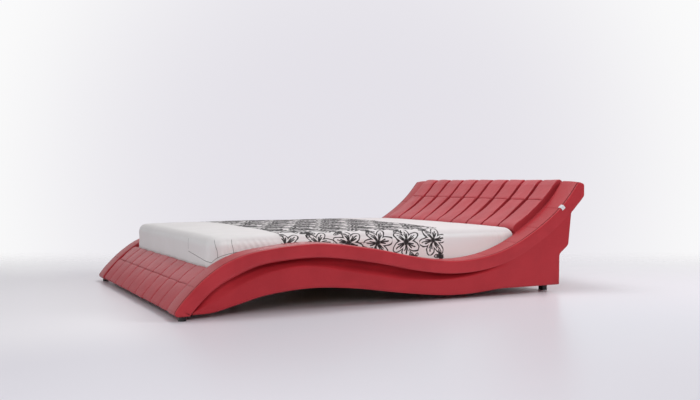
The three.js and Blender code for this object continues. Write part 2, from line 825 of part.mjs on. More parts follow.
// Feet: round glides under the noses of the ribbons, square blocks under the rails at the head
function addFeet() {
  const glideY = noseRadius + glideRadius + glideFlare;
  for (const [name, sign] of [["left", -1], ["right", 1]]) {
    const glideX = sign * (outerHalf - ribbonEdgeRadius - glideRadius);
    const height = footClearance - touchGap;
    const glide = new THREE.CylinderGeometry(glideRadius - glideFlare, glideRadius, height, legSides);
    glide.rotateX(Math.PI / 2).translate(glideX, glideY, height / 2);
    addPiece(`foot_glide_${name}`, glide, blackPlastic, 0.6);
    const middle = new THREE.Vector2(
      sign * (innerHalf + headFootInset + headFootWidth / 2),
      bedLength - legInset - headFootInset - headFootWidth / 2,
    );
    const outline = roundedBar(headFootWidth, headFootWidth, headFootCorner)
      .map((point) => point.clone().add(middle));
    addPiece(`head_foot_${name}`, upwards(outline, 0, headClearance - touchGap), blackPlastic, 0.6);
  }
}

// Mattress: a crowned block with rounded edges and a slight waist round its sides
function addMattress() {
  const radius = mattressEdgeRadius;
  const lowerEdge = edgeRoundShares.map((share) => {
    const angle = (share * Math.PI) / 2;
    return [radius * (1 - Math.sin(angle)), radius * (1 - Math.cos(angle))];
  });
  const upperEdge = [...lowerEdge].reverse().map(([inset, up]) => [inset, mattressHeight - up]);
  const crown = crownShares.map(([inward, up]) => (
    [radius + (inward * (mattressWidth - 2 * radius)) / 2, mattressHeight + up * mattressCrown]
  ));
  const layers = [...lowerEdge, [mattressWaist, mattressHeight / 2], ...upperEdge, ...crown];
  const rings = layers.map(([inset, up]) => (
    mattressOutline(inset).map(({ x, y }) => new THREE.Vector3(x, y, mattressBottom + up))
  ));
  addPiece("mattress", loft(rings), coverWhite, 0.85);
}

// Plan of the mattress at an inset, with round corners and a few points on each side
function mattressOutline(inset) {
  const halfX = mattressWidth / 2 - inset;
  const halfY = mattressLength / 2 - inset;
  const middleY = footInner + mattressEndGap + mattressLength / 2;
  const round = Math.max(mattressCornerRadius - inset, mattressCornerRadius * leastCornerShare);
  const corners = [[1, 1], [-1, 1], [-1, -1], [1, -1]];
  return corners.flatMap(([x, y], i) => {
    const centre = new THREE.Vector2(x * (halfX - round), middleY + y * (halfY - round));
    const start = i * (Math.PI / 2);
    const arc = [0, 0.5, 1].map((share) => {
      const angle = start + (share * Math.PI) / 2;
      return new THREE.Vector2(Math.cos(angle), Math.sin(angle)).multiplyScalar(round).add(centre);
    });
    const [nextX, nextY] = corners[(i + 1) % 4];
    const nextCentre = new THREE.Vector2(nextX * (halfX - round), middleY + nextY * (halfY - round));
    const end = start + Math.PI / 2;
    const nextStart = new THREE.Vector2(Math.cos(end), Math.sin(end)).multiplyScalar(round).add(nextCentre);
    const side = sideShares.map((share) => arc[2].clone().lerp(nextStart, share));
    return [...arc, ...side];
  });
}

addRibbons();
addSkirts();
addRailCores();
addFootFrame();
addFootPads();
addHeadFrame();
addHeadPads();
addBackCover();
addLedgers();
addSlats();
addStraps();
addBeam();
addCentreLegs();
addFeet();
addBrackets();
addBolts();
addMattress();

export default bed;
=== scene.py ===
# Leather platform bed: covers, pads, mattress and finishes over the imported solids, in metres.
# Lines along the bed are drawn in (along, up), measured from the nose of the ribbons and from the
# floor, and moved into the frame when a mesh is made.

import bpy
import math
import numpy as np
from collections import namedtuple
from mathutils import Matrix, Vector


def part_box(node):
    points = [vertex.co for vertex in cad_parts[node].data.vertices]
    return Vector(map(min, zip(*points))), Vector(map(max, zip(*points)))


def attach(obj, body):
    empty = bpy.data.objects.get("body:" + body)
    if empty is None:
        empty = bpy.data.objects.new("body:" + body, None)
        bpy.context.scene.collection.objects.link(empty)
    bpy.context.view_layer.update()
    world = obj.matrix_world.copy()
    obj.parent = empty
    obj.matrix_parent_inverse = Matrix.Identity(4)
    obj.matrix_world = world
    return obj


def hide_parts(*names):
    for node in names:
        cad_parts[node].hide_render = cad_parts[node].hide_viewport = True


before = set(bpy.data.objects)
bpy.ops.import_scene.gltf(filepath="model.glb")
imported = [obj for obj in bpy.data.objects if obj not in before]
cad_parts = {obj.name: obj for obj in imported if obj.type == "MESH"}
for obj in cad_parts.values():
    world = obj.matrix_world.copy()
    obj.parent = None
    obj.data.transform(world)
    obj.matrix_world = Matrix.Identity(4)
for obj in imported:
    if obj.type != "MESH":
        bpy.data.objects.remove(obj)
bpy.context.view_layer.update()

# Sizes of the solids
LENGTH = 2.656
RIBBON_LOW, RIBBON_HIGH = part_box("ribbon_right")
INNER_HALF, OUTER_HALF = RIBBON_LOW.x, RIBBON_HIGH.x
RIBBON_WIDTH = OUTER_HALF - INNER_HALF
FOOT_Y = RIBBON_HIGH.y - LENGTH
SKIRT_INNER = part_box("skirt_right")[0].x
MATTRESS_LOW, MATTRESS_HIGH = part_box("mattress")
MATTRESS_GAP = 0.006
FOOT_DEPTH = 0.218
HEAD_INNER = MATTRESS_HIGH.y - FOOT_Y + MATTRESS_GAP
FOOT_CLEARANCE = 0.022
HEAD_CLEARANCE = 0.045
RIBBON_THICKNESS = 0.076
RIBBON_SWELL, SWELL_SHARES = 0.012, (0.03, 0.19)
NOSE_RADIUS = 0.019
NOSE_SLOPE = math.radians(50.6)
CREST_HEIGHT = 0.686
CREST_DEPTH = 0.043
CREST_FALL = 0.010
CREST_RADIUS = 0.014
CREST_SWELL, CREST_SWELL_SHARES = 0.013, (0.925, 0.975)
CREST_RISE, CREST_RISE_INNER = 0.003, 0.012
PAD_SIDE_GAP = 0.006
CHANNEL_COUNT = 9

# Wave of the ribbon's top: shares of the bed's length and of the crest's height
WAVE_SHARES = [
    (0.0196, 0.163), (0.0584, 0.304), (0.1054, 0.417), (0.1694, 0.488), (0.2937, 0.526),
    (0.4255, 0.462), (0.5346, 0.376), (0.6269, 0.334), (0.7154, 0.362), (0.7944, 0.456),
    (0.8773, 0.63), (0.9413, 0.82),
]
# Hem of the skirt: shares of the bed's length and of the clearance under the head end
HEM_SHARES = [
    (0.0346, 0.56), (0.0753, 0.64), (0.128, 1.38), (0.1883, 2.22), (0.2805, 2.67),
    (0.3776, 2.31), (0.4932, 1.33), (0.5873, 0.69), (0.648, 0.56), (0.7003, 0.73),
    (0.7511, 1.0), (0.802, 1.0),
]
# Hollow under the ribbon: where it starts and dies out, and its depths
HOLLOW_START_SHARES, HOLLOW_END_SHARES = (0.04, 0.20), (0.57, 0.79)
HOLLOW_HEM_DEPTH, HOLLOW_ADDED_DEPTH, HOLLOW_START_DEPTH_SHARE = 0.020, 0.055, 0.42
# Lip of the hollow: shares of the bed's length and of the skirt's height under the ribbon
LIP_SHARES = [
    (0.034, 0.62), (0.096, 0.52), (0.146, 0.39), (0.252, 0.26), (0.364, 0.42), (0.483, 0.47),
    (0.584, 0.33), (0.69, 0.16), (0.79, 0.12),
]
# Back of the head end: leg, slanting step and upper body
LEG_FOOT = np.array([LENGTH - 0.204, HEAD_CLEARANCE])
STEP_LOW, STEP_HIGH = np.array([(LENGTH - 0.202, 0.236), (LENGTH - 0.130, 0.290)])
BODY_BACK = LENGTH - 0.108


# Lines
def lerp(a, b, s):
    return a + (b - a) * s


def smooth_step(x, low, high):
    """Smooth change from 0 at low to 1 at high, which may be the smaller of the two."""
    s = np.clip((np.asarray(x, float) - low) / (high - low), 0, 1)
    return s * s * (3 - 2 * s)


def catmull(points, ts):
    """Points and unit directions of the smooth line through points, at places from 0 to 1."""
    points = np.asarray(points, float)
    last = len(points) - 1
    places = np.clip(np.asarray(ts, float), 0, 1) * last
    start = np.minimum(places.astype(int), last - 1)
    w = (places - start)[:, None]
    p0, p1 = points[np.maximum(start - 1, 0)], points[start]
    p2, p3 = points[start + 1], points[np.minimum(start + 2, last)]
    v0, v1 = (p2 - p0) / 2, (p3 - p1) / 2
    a, b = 2 * p1 - 2 * p2 + v0 + v1, 3 * p2 - 3 * p1 - 2 * v0 - v1
    run = (3 * a * w + 2 * b) * w + v0
    return ((a * w + b) * w + v0) * w + p1, run / np.linalg.norm(run, axis=1)[:, None]


NOSE_CENTRE = np.array([NOSE_RADIUS, FOOT_CLEARANCE + NOSE_RADIUS])
NOSE_END = 1.5 * math.pi
WAVE_START = math.pi / 2 + NOSE_SLOPE
WAVE_END = np.array([LENGTH - CREST_DEPTH, CREST_HEIGHT])


def nose_points(radius, angles):
    return NOSE_CENTRE + radius * np.stack([np.cos(angles), np.sin(angles)], axis=1)


WAVE = [
    nose_points(NOSE_RADIUS, [WAVE_START])[0],
    *[(along * LENGTH, up * CREST_HEIGHT) for along, up in WAVE_SHARES],
    WAVE_END,
]


def under(ts, depth):
    """Points at a depth under the wave, square to it."""
    points, runs = catmull(WAVE, ts)
    depth = np.broadcast_to(depth, len(points))[:, None]
    return points + depth * runs[:, ::-1] * (1, -1)


def wave(ts):
    return under(ts, 0.0)


def underside(ts):
    """Underside of the ribbon, which is thicker near the nose and at the crest."""
    share = wave(ts)[:, 0] / LENGTH
    low, high = SWELL_SHARES
    inside = np.clip((share - low) / (high - low), 0, 1)
    swell = RIBBON_SWELL * np.sin(math.pi * inside) ** 2
    return under(ts, RIBBON_THICKNESS + swell + CREST_SWELL * smooth_step(share, *CREST_SWELL_SHARES))


def place_where(line, axis, value):
    """The place between 0 and 1 at which a line that rises along an axis reaches a value."""
    low, high = 0.0, 1.0
    for _ in range(40):
        middle = (low + high) / 2
        if line([middle])[0, axis] < value:
            low = middle
        else:
            high = middle
    return (low + high) / 2


def lengths_along(points):
    """Length of a line of points up to each of them."""
    steps = np.linalg.norm(np.diff(points, axis=0), axis=1)
    return np.concatenate([[0], np.cumsum(steps)])


def length_shares(points):
    along = lengths_along(points)
    return along / along[-1]


def resample(points, shares):
    """Points of a line at shares of its length."""
    points, along = np.asarray(points, float), length_shares(points)
    return np.stack([np.interp(shares, along, axis) for axis in points.T], axis=1)


def unit_runs(points):
    """Directions along a line of points."""
    run = np.gradient(points, axis=0)
    return run / np.linalg.norm(run, axis=1)[:, None]


def arc_corner(before, corner, after, radius):
    """A short curve that replaces a corner."""
    corner = np.array(corner, float)
    ways = [np.array(end) - corner for end in (before, after)]
    start, end = (corner + way / np.linalg.norm(way) * radius for way in ways)
    t = np.linspace(0, 1, 7)[:, None]
    return (1 - t) ** 2 * start + 2 * t * (1 - t) * corner + t ** 2 * end


def ripples(x, length, phase=0.0):
    return np.sin(x * 2 * math.pi / length + phase)


def waves(points, size, seed, count=7):
    """Smooth random relief from -1 to 1 with bumps of about a given size."""
    rng = np.random.default_rng(seed)
    total = np.zeros(len(points))
    for _ in range(count):
        direction = rng.normal(size=3)
        direction *= rng.uniform(0.7, 1.4) / np.linalg.norm(direction)
        total += ripples(points @ direction, size, rng.uniform(0, 2 * math.pi))
    return total / math.sqrt(count)


# Skins
def grid_faces(grid, closed=False):
    """Faces between the rows of a grid of point numbers. A closed grid joins its last row to its
    first."""
    if closed:
        grid = np.concatenate([grid, grid[:1]])
    corners = [grid[:-1, :-1], grid[1:, :-1], grid[1:, 1:], grid[:-1, 1:]]
    return np.stack(corners, axis=2).reshape(-1, 4).tolist()


def numbered(points, start=0):
    """The number of each point in a grid of them."""
    return start + np.arange(points[..., 0].size).reshape(points.shape[:2])


def tube(lines):
    """Points and faces of a tube with closed ends, from a grid whose rows are lines along it."""
    index = numbered(lines)
    return lines.reshape(-1, 3), [*grid_faces(index, closed=True), index[::-1, 0], index[:, -1]]


def slab(top, bottom, strip_top, strip_bottom, face_shares, face_places):
    """Points and faces between two paired chains of (along, up) from foot to head. A strip runs round
    the closed outline and gives, at each station, places across and insets from the outline, from
    the inner side to the outer. The outer face has rows of points at shares of the way down."""
    count = len(top)
    outline = np.concatenate([top, bottom[::-1]])
    strips = np.concatenate([strip_top, strip_bottom[::-1]])
    run = np.roll(outline, -1, axis=0) - np.roll(outline, 1, axis=0)
    inward = run[:, ::-1] * (1, -1) / np.linalg.norm(run, axis=1)[:, None]
    flat = outline[:, None] + inward[:, None] * strips[:, :, 1:]
    border = np.concatenate([strips[:, :, :1], flat], axis=2)
    index = numbered(border)
    on_top, on_bottom = index[:count], index[count:][::-1]
    down = lerp(flat[:count, -1:], flat[count:, -1:][::-1], face_shares[:, :, None])
    middle = np.concatenate([face_places[:, :, None], down], axis=2)[1:-1]
    ribs = [on_top[1:-1, -1], numbered(middle, index.size), on_bottom[1:-1, -1]]
    ribs = np.column_stack(ribs)
    faces = [
        *grid_faces(index, closed=True),
        *grid_faces(np.column_stack([on_bottom[:, 0], on_top[:, 0]])),
        *grid_faces(ribs),
        [on_top[0, -1], *ribs[0], on_bottom[0, -1]],
        [on_top[-1, -1], on_bottom[-1, -1], *ribs[-1][::-1]],
    ]
    return np.concatenate([border.reshape(-1, 3), middle.reshape(-1, 3)]), faces


def quarter(radius, rows):
    """Places and insets of the rounded inner edge, from the side's face to the top."""
    angles = np.linspace(0, math.pi / 2, rows)
    return radius * np.stack([1 - np.cos(angles), 1 - np.sin(angles)], axis=1)


def outer_quarter(reach, radius, rows):
    """The same of an outer edge, from the top to a face at a reach."""
    return [(reach - place, inset) for place, inset in quarter(radius, rows)[::-1]]


def facing_out(points, faces):
    """Faces turned so that the closed skin's volume is positive."""
    fans = [(face[0], face[k], face[k + 1]) for face in faces for k in range(1, len(face) - 1)]
    a, b, c = points[np.array(fans)].transpose(1, 0, 2)
    outward = (a * np.cross(b, c)).sum() > 0
    return [[int(number) for number in (face if outward else face[::-1])] for face in faces]


def new_object(name, data):
    holder = bpy.data.objects.new(name, data)
    bpy.context.scene.collection.objects.link(holder)
    return holder


def make_piece(name, points, faces, slot, material, sharp, replaced=None, padded=None):
    """A mesh piece from a closed skin in (across, along, up), with along measured from the nose.
    Edges with an angle over sharp, in degrees, shade as edges."""
    mesh = bpy.data.meshes.new(name)
    placed = points + (0, FOOT_Y, 0)
    mesh.from_pydata(placed.tolist(), [], facing_out(points, faces))
    mesh.validate()
    mesh.shade_smooth()
    mesh.set_sharp_from_angle(angle=math.radians(sharp))
    mesh.materials.append(material)
    piece = new_object(name, mesh)
    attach(piece, "root")
    if replaced:
        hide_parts(replaced)
    return piece


def add_attribute(piece, name, *columns):
    """A vector at each point that a material reads."""
    attribute = piece.data.attributes.new(name, "FLOAT_VECTOR", "POINT")
    attribute.data.foreach_set("vector", np.column_stack(columns).astype(np.float32).ravel())


# Material graphs
class Number:
    """A socket of a graph that can be calculated with."""

    def __init__(self, graph, socket):
        self.graph = graph
        self.socket = socket

    def call(self, operation, *others):
        return self.graph.calculate(operation, self, *others)

    def __add__(self, other):
        return self.call("ADD", other)

    def __sub__(self, other):
        return self.call("SUBTRACT", other)

    def __rsub__(self, other):
        return self.graph.calculate("SUBTRACT", other, self)

    def __mul__(self, other):
        return self.call("MULTIPLY", other)

    def __truediv__(self, other):
        return self.call("DIVIDE", other)

    def __pow__(self, other):
        return self.call("POWER", other)

    def __abs__(self):
        return self.call("ABSOLUTE")

    def most(self, other):
        return self.call("MAXIMUM", other)

    def least(self, other):
        return self.call("MINIMUM", other)

    def step(self, low, high):
        """Smooth change from 0 at low to 1 at high, which may be the smaller of the two."""
        node = self.graph.add("ShaderNodeMapRange", {
            "Value": self, "From Min": low, "From Max": high}, interpolation_type="SMOOTHSTEP")
        return Number(self.graph, node.outputs[0])


class Graph:
    """The nodes of a new material or of the world."""

    def __init__(self, owner, output="ShaderNodeOutputMaterial"):
        owner.use_nodes = True
        self.owner = owner
        self.tree = owner.node_tree
        self.tree.nodes.clear()
        self.output = self.add(output)

    def add(self, kind, inputs=None, **settings):
        node = self.tree.nodes.new(kind)
        for key, value in settings.items():
            setattr(node, key, value)
        for key, value in (inputs or {}).items():
            self.feed(node.inputs[key], value)
        return node

    def feed(self, socket, value):
        """Links a socket to a number or to another socket, or sets its own value."""
        if isinstance(value, Number):
            value = value.socket
        if isinstance(value, bpy.types.NodeSocket):
            self.tree.links.new(value, socket)
        elif hasattr(value, "__len__") and len(socket.default_value) > len(value):
            socket.default_value = (*value, 1.0)
        else:
            socket.default_value = value

    def calculate(self, operation, *values):
        node = self.add("ShaderNodeMath", dict(enumerate(values)), operation=operation)
        return Number(self, node.outputs[0])

    def split(self, vector):
        node = self.add("ShaderNodeSeparateXYZ", {"Vector": vector})
        return [Number(self, socket) for socket in node.outputs]

    def place(self, stretch=None):
        """Object coordinates in metres, which may be stretched."""
        place = self.add("ShaderNodeTexCoord").outputs["Object"]
        if stretch:
            place = self.add("ShaderNodeMapping", {"Vector": place, "Scale": stretch}).outputs[0]
        return place

    def attribute(self, name):
        return self.split(self.add("ShaderNodeAttribute", attribute_name=name).outputs["Vector"])

    def noise(self, scale, detail=3.0, roughness=0.5, at=None, distortion=0.0):
        node = self.add("ShaderNodeTexNoise", {
            "Vector": at or self.place(), "Scale": scale, "Detail": detail,
            "Roughness": roughness, "Distortion": distortion})
        return Number(self, node.outputs["Fac"])

    def cells(self, scale):
        node = self.add("ShaderNodeTexVoronoi", {
            "Vector": self.place(), "Scale": scale}, feature="SMOOTH_F1")
        return Number(self, node.outputs["Distance"])

    def bands(self, scale, axis):
        node = self.add("ShaderNodeTexWave", {
            "Vector": self.place(), "Scale": scale}, bands_direction=axis)
        return Number(self, node.outputs["Fac"])

    def mix(self, factor, first, second):
        """A colour that goes from the first to the second."""
        return self.add("ShaderNodeMix", {0: factor, 6: first, 7: second}, data_type="RGBA").outputs[2]

    def mix_shaders(self, factor, first, second):
        inputs = {0: factor, 1: first.outputs[0], 2: second.outputs[0]}
        return self.add("ShaderNodeMixShader", inputs)

    def bump(self, height, strength, distance, normal=None):
        inputs = {"Height": height, "Strength": strength, "Distance": distance}
        if normal:
            inputs["Normal"] = normal
        return self.add("ShaderNodeBump", inputs).outputs[0]

    def show(self, shader):
        self.feed(self.output.inputs["Surface"], shader.outputs[0])
        return self.owner

    def surface(self, **inputs):
        """A Principled shader; an underscore in a name stands for a space."""
        inputs = {name.replace("_", " "): value for name, value in inputs.items()}
        return self.add("ShaderNodeBsdfPrincipled", inputs)


def new_graph(name):
    return Graph(bpy.data.materials.new(name))


def leather(name, tones, roughness, gloss, stitched=False, floor_shade_and_dull=0.0):
    """Grained and pebbled leather in a colour, a deeper one and a worn one. Stitched leather follows
    the seams of the ribbon's mesh, and has painted shade on its cap and in its long seam and a painted
    sheen on the cap over the hump; leather that is shaded near the floor is painted deeper there, as
    painted shade, and is duller there."""
    graph = new_graph(name)
    color, deep, worn = tones
    mottle = graph.noise(5.0, 4.0, 0.6)
    fine = graph.noise(260.0, 3.0, 0.65)
    tone = graph.mix(mottle.step(0.35, 0.7) * 0.35, color, deep)
    tone = graph.mix(fine.step(0.5, 0.8) * 0.3, tone, worn)
    tone = graph.mix(fine.step(0.45, 0.25) * 0.3, tone, deep)
    creases = graph.noise(48.0, 5.0, 0.6, distortion=0.4)
    normal = graph.bump(creases, 0.22, 0.0014)
    normal = graph.bump(graph.cells(420.0), 0.4, 0.0007, normal)
    uneven = mottle * 0.06 + fine * 0.08 + roughness
    if stitched:
        beside, cross, run = graph.attribute("seams")
        on_cap = beside.step(0.001, -0.001)
        # Over the hump the cap is polished, which makes it smoother, and it is painted paler there as a
        # painted sheen.
        polish_and_painted_sheen = run.step(0.50, 0.65) * run.step(1.25, 1.0) * on_cap
        # Painted shade: the cap, lit from above, is painted deeper, more towards the foot.
        tone = graph.mix((run.step(0.50, 0.30) * 0.3 + 0.35) * on_cap, tone, deep)
        tone = graph.mix(polish_and_painted_sheen * 0.25, tone, (0.50, 0.17, 0.18))
        # Painted shade in the groove of the long seam, which also loses its gloss there.
        painted_seam_shade = abs(beside).step(0.0060, 0.0015)
        tone = graph.mix(painted_seam_shade * 0.8, tone, (0.11, 0.007, 0.010))
        thread = stitches(graph, beside, cross, run) * on_cap
        tone = graph.mix(thread * 0.8, tone, deep)
        normal = graph.bump(thread, 0.6, 0.0008, normal)
        uneven = uneven - polish_and_painted_sheen * 0.16
    if floor_shade_and_dull:
        # Painted shade: deeper in colour towards the floor, and duller there.
        floor_shade_and_dull_mask = graph.split(graph.place())[2].step(0.20, 0.06) * floor_shade_and_dull
        tone = graph.mix(floor_shade_and_dull_mask, tone, deep)
        uneven = uneven + floor_shade_and_dull_mask * 0.6
    shader = graph.surface(Base_Color=tone, Normal=normal, Roughness=uneven, Specular_IOR_Level=gloss)
    if stitched:
        graph.feed(shader.inputs["Specular IOR Level"], gloss - painted_seam_shade * gloss)
    return graph.show(shader)


def stitches(graph, beside, cross, run):
    """Rows of short stitches beside the long seam and the cross seams, from each point's distances
    from them and its place along the ribbon, in metres."""
    pitch, half, inset = 0.0055, 0.0006, 0.0045
    across = graph.split(graph.place())[0]
    rows = []
    for distance, along in ((beside, run), (cross, across)):
        off = abs(abs(distance) - inset).step(half * 1.6, half * 0.8)
        dash = abs((along / pitch).call("FRACT") - 0.5).step(0.40, 0.32)
        rows.append(off * dash)
    return rows[0].most(rows[1])


def wood(name, color, dark, ring_scale, along, roughness):
    """Straight grain that runs along an axis."""
    graph = new_graph(name)
    at = graph.place(tuple(0.06 if axis == along else 1.0 for axis in "XYZ"))
    rings = graph.noise(ring_scale, 5.0, 0.6, at, 0.6)
    pores = graph.noise(ring_scale * 9, 2.0, 0.5, at)
    tone = graph.mix(rings.step(0.3, 0.7), dark, color)
    tone = graph.mix(pores.step(0.55, 0.75) * 0.35, tone, dark)
    normal = graph.bump(rings + pores * 0.4, 0.25, 0.0008)
    uneven = rings * 0.15 + roughness
    return graph.show(graph.surface(Base_Color=tone, Normal=normal, Roughness=uneven))


def cloth(name, color, dark, thread_scale, roughness):
    """A plain weave with faint stains."""
    graph = new_graph(name)
    weave = graph.bands(thread_scale, "X") * graph.bands(thread_scale, "Z")
    tone = graph.mix(graph.noise(5.0, 4.0, 0.6).step(0.3, 0.8), dark, color)
    tone = graph.mix(weave * 0.4, tone, dark)
    normal = graph.bump(weave, 0.5, 0.0006)
    return graph.show(graph.surface(Base_Color=tone, Roughness=roughness, Normal=normal))


def steel(name):
    """Brushed galvanized steel with darker spots."""
    graph = new_graph(name)
    brushed = graph.noise(240.0, 3.0, 0.6, graph.place((1, 0.08, 1)))
    spots = graph.noise(30.0, 4.0, 0.6)
    tone = graph.mix(spots.step(0.4, 0.8), (0.42, 0.43, 0.45), (0.30, 0.31, 0.33))
    normal = graph.bump(brushed, 0.15, 0.0003)
    uneven = brushed * 0.2 + 0.25
    return graph.show(graph.surface(Base_Color=tone, Metallic=1.0, Roughness=uneven, Normal=normal))


def plastic(name):
    """Black moulded plastic with a fine grain and some dust."""
    graph = new_graph(name)
    grain = graph.noise(900.0, 2.0, 0.5)
    dust = graph.noise(40.0, 4.0, 0.7)
    tone = graph.mix(dust.step(0.5, 0.9) * 0.5, (0.012, 0.012, 0.013), (0.05, 0.048, 0.046))
    normal = graph.bump(grain, 0.3, 0.0003)
    return graph.show(graph.surface(Base_Color=tone, Roughness=grain * 0.15 + 0.4, Normal=normal))


def drawn_flower(x, y, petals, middle, long, wide, turn, plain):
    """Distance to the lines of a flower: petal outlines, veins and a dark heart. Petals are ovals
    whose middles are at a distance from the heart. A plain flower has one vein in each petal, any
    other has three."""
    sector = 2 * math.pi / petals
    radius = (x * x + y * y).call("SQRT")
    angle = (((y.call("ARCTAN2", x) + turn) / sector).call("FRACT") - 0.5) * sector
    px = angle.call("COSINE") * radius - middle
    py = angle.call("SINE") * radius
    size = ((px / long) ** 2 + (py / wide) ** 2).call("SQRT")
    slope = ((px / long ** 2) ** 2 + (py / wide ** 2) ** 2).call("SQRT") + 1.0
    outline = abs(size * (size - 1.0) / slope)
    inside = (size - 0.85).most(0.0) * long
    vein = abs(py) + inside + (px - long * 0.45).most(0.0)
    side = abs(abs(py) - (px + middle) * (0.36 * wide / long)) + inside + px.most(0.0) + plain * 0.1
    heart = (radius - middle * 0.16).most(0.0)
    return outline.least(vein).least(side).least(heart)


def flower_print(graph, across, along, on_top):
    """Distance to the nearest line of three sizes of flowers, with one flower of a size in each cell
    of a half-drop layout, turned by chance. Flowers on the top are plain, and the last kind shows
    only there."""
    pitch = 0.190

    def flowers(u, v, seed, *shape):
        column = (u / pitch).call("FLOOR")
        shifted = v / pitch + column.call("FLOORED_MODULO", 2.0) * 0.5
        row = shifted.call("FLOOR")
        x = (u / pitch - column - 0.5) * pitch
        y = (shifted - row - 0.5) * pitch
        cell = graph.add("ShaderNodeCombineXYZ", {"X": column, "Y": row, "Z": seed}).outputs[0]
        chance = graph.add("ShaderNodeTexWhiteNoise", {"Vector": cell}, noise_dimensions="3D")
        turn = Number(graph, chance.outputs["Value"]) * 6.283
        return drawn_flower(x, y, *shape, turn, on_top)

    large = flowers(across, along, 1.0, 6, 0.054, 0.045, 0.025)
    sprig = flowers(across + pitch * 0.5, along + pitch * 0.25, 2.0, 4, 0.022, 0.020, 0.009)
    small = flowers(across + pitch * 0.5, along + pitch * 0.5, 3.0, 5, 0.036, 0.032, 0.019)
    return large.least(sprig * 1.2).least(small + (1.0 - on_top) * 0.1)


def cover_seams(graph):
    """Thin seams of the cover at the foot's corners. The mesh holds each point's place from the
    corner, which grows along the long side, its height over the bottom and whether it is there."""
    place, height, seamed = graph.attribute("corner")
    half = 0.0020
    beside, across = place.most(0.0), (place * -1.0).most(0.0)
    hem = height - 0.064 - beside / (beside + 0.1) * 0.085 - across * 0.095
    total = abs(hem).step(half, half * 0.5) * across.step(0.378, 0.374)
    # Upright seams: place, bulge, lower end and height
    for start, bulge, low, tall in ((0.008, 0.036, 0.088, 0.103), (0.107, 0.027, 0.100, 0.098),
                                    (-0.375, 0.0, 0.111, 0.060)):
        up = (height - low) / tall
        line = abs(place - start - (1.0 - up * up) * bulge).step(half, half * 0.5)
        total = total.most(line * up.step(-0.02, 0.02) * up.step(1.02, 0.98))
    return total * seamed


def mattress_cover(name):
    """White knit with a band of line-drawn flowers, with painted shade that greys it towards the head
    and painted light on the sides below the top's edge. The mesh holds the cloth laid flat, in metres,
    and where the band is: 1 on the sides and 2 on the top."""
    graph = new_graph(name)
    across, along, band = graph.attribute("print")
    on_top = band.step(1.0, 2.0)
    stroke = on_top * 0.0038 + 0.0046
    sway = (graph.noise(11.0, 2.0, 0.5) - 0.5) * 0.035
    shake = (graph.noise(13.0, 2.0, 0.5, graph.place((1.0, 1.0, 1.3))) - 0.5) * 0.035
    line = flower_print(graph, across + sway, along + shake, on_top)
    ink = line.step(stroke, stroke * 0.6) * band.least(1.0)

    knit = graph.noise(1400.0, 2.0, 0.5)
    soft = graph.noise(6.0, 3.0, 0.6)
    tone = graph.mix(soft.step(0.3, 0.75), (0.76, 0.75, 0.745), (0.81, 0.80, 0.80))
    # Painted shade: greyer and pinker towards the head.
    tone = graph.mix((along + shake).step(-0.3, 1.4) * 0.9, tone, (0.685, 0.642, 0.650))
    # Painted light: the sides below the top's edge are paler.
    tone = graph.mix(graph.attribute("side")[0] * 0.9, tone, (0.93, 0.96, 0.955))
    tone = graph.mix(knit.step(0.45, 0.8) * 0.12, tone, (0.6, 0.58, 0.58))
    tone = graph.mix(ink * 0.97, tone, (0.012, 0.011, 0.012))
    tone = graph.mix(cover_seams(graph) * 0.85, tone, (0.10, 0.095, 0.10))
    return graph.show(graph.surface(
        Base_Color=tone, Normal=graph.bump(graph.cells(900.0), 0.3, 0.0005),
        Roughness=knit * 0.1 + 0.78, Specular_IOR_Level=0.15, Sheen_Weight=0.04))


DEEP_RED, WORN_RED = (0.31, 0.016, 0.023), (0.56, 0.06, 0.07)
PAD_TONES = ((0.44, 0.040, 0.052), (0.30, 0.026, 0.035), (0.55, 0.075, 0.088))
SKIRT_TONES = ((0.45, 0.026, 0.036), DEEP_RED, WORN_RED)
# The ribbons' red is lighter than the skirts' and pads', painted light on their side faces; leather()
# paints their caps deeper again.
RIBBON_TONES = ((0.485, 0.034, 0.045), DEEP_RED, WORN_RED)
RED = leather("leather_red", PAD_TONES, 0.34, 0.5, floor_shade_and_dull=0.30)
SKIRT_RED = leather("leather_red_smooth", SKIRT_TONES, 0.38, 0.34)
RIBBON_RED = leather("leather_red_stitched", RIBBON_TONES, 0.32, 0.34, stitched=True)
COVER = mattress_cover("mattress_knit")
SLAT_WOOD = wood("slat_wood", (0.62, 0.43, 0.22), (0.42, 0.26, 0.12), 34.0, "X", 0.5)
BOARD_WOOD = wood("board_wood", (0.46, 0.30, 0.15), (0.30, 0.18, 0.085), 26.0, "Y", 0.6)
DARK_BOARD = wood("dark_board", (0.045, 0.034, 0.031), (0.02, 0.016, 0.015), 22.0, "X", 0.65)
STEEL = steel("zinc_steel")
PLASTIC = plastic("black_plastic")
WEBBING = cloth("webbing_grey", (0.12, 0.12, 0.125), (0.07, 0.07, 0.075), 260.0, 0.85)
BACK_CLOTH = cloth("back_cloth", (0.052, 0.050, 0.052), (0.026, 0.025, 0.026), 300.0, 0.9)
LABEL = cloth("label_cloth", (0.78, 0.78, 0.80), (0.66, 0.66, 0.69), 700.0, 0.8)


# Ribbon covers
CROSS_SEAMS = (0.102, 0.444, 1.667, 1.907, 2.120, 2.284, 2.453)
SEAM_REACH = (-0.007, -0.003, -0.0015, -0.0006, 0, 0.0006, 0.0015, 0.003, 0.007)
SEAM_AT, SEAM_HALF = 0.1435, 0.0022
SEAM_DROPS = (0.0, 0.0019, 0.0026, 0.0019, 0.0002)
BACK_SPLIT = 0.642
RIBBON_EDGE = 0.009
CAP_MIDDLE, CAP_HALF, CAP_RISE = 0.0745, 0.0655, 0.003
CAP_PLACES = (0.024, 0.045, CAP_MIDDLE, 0.104, 0.125, 0.136)


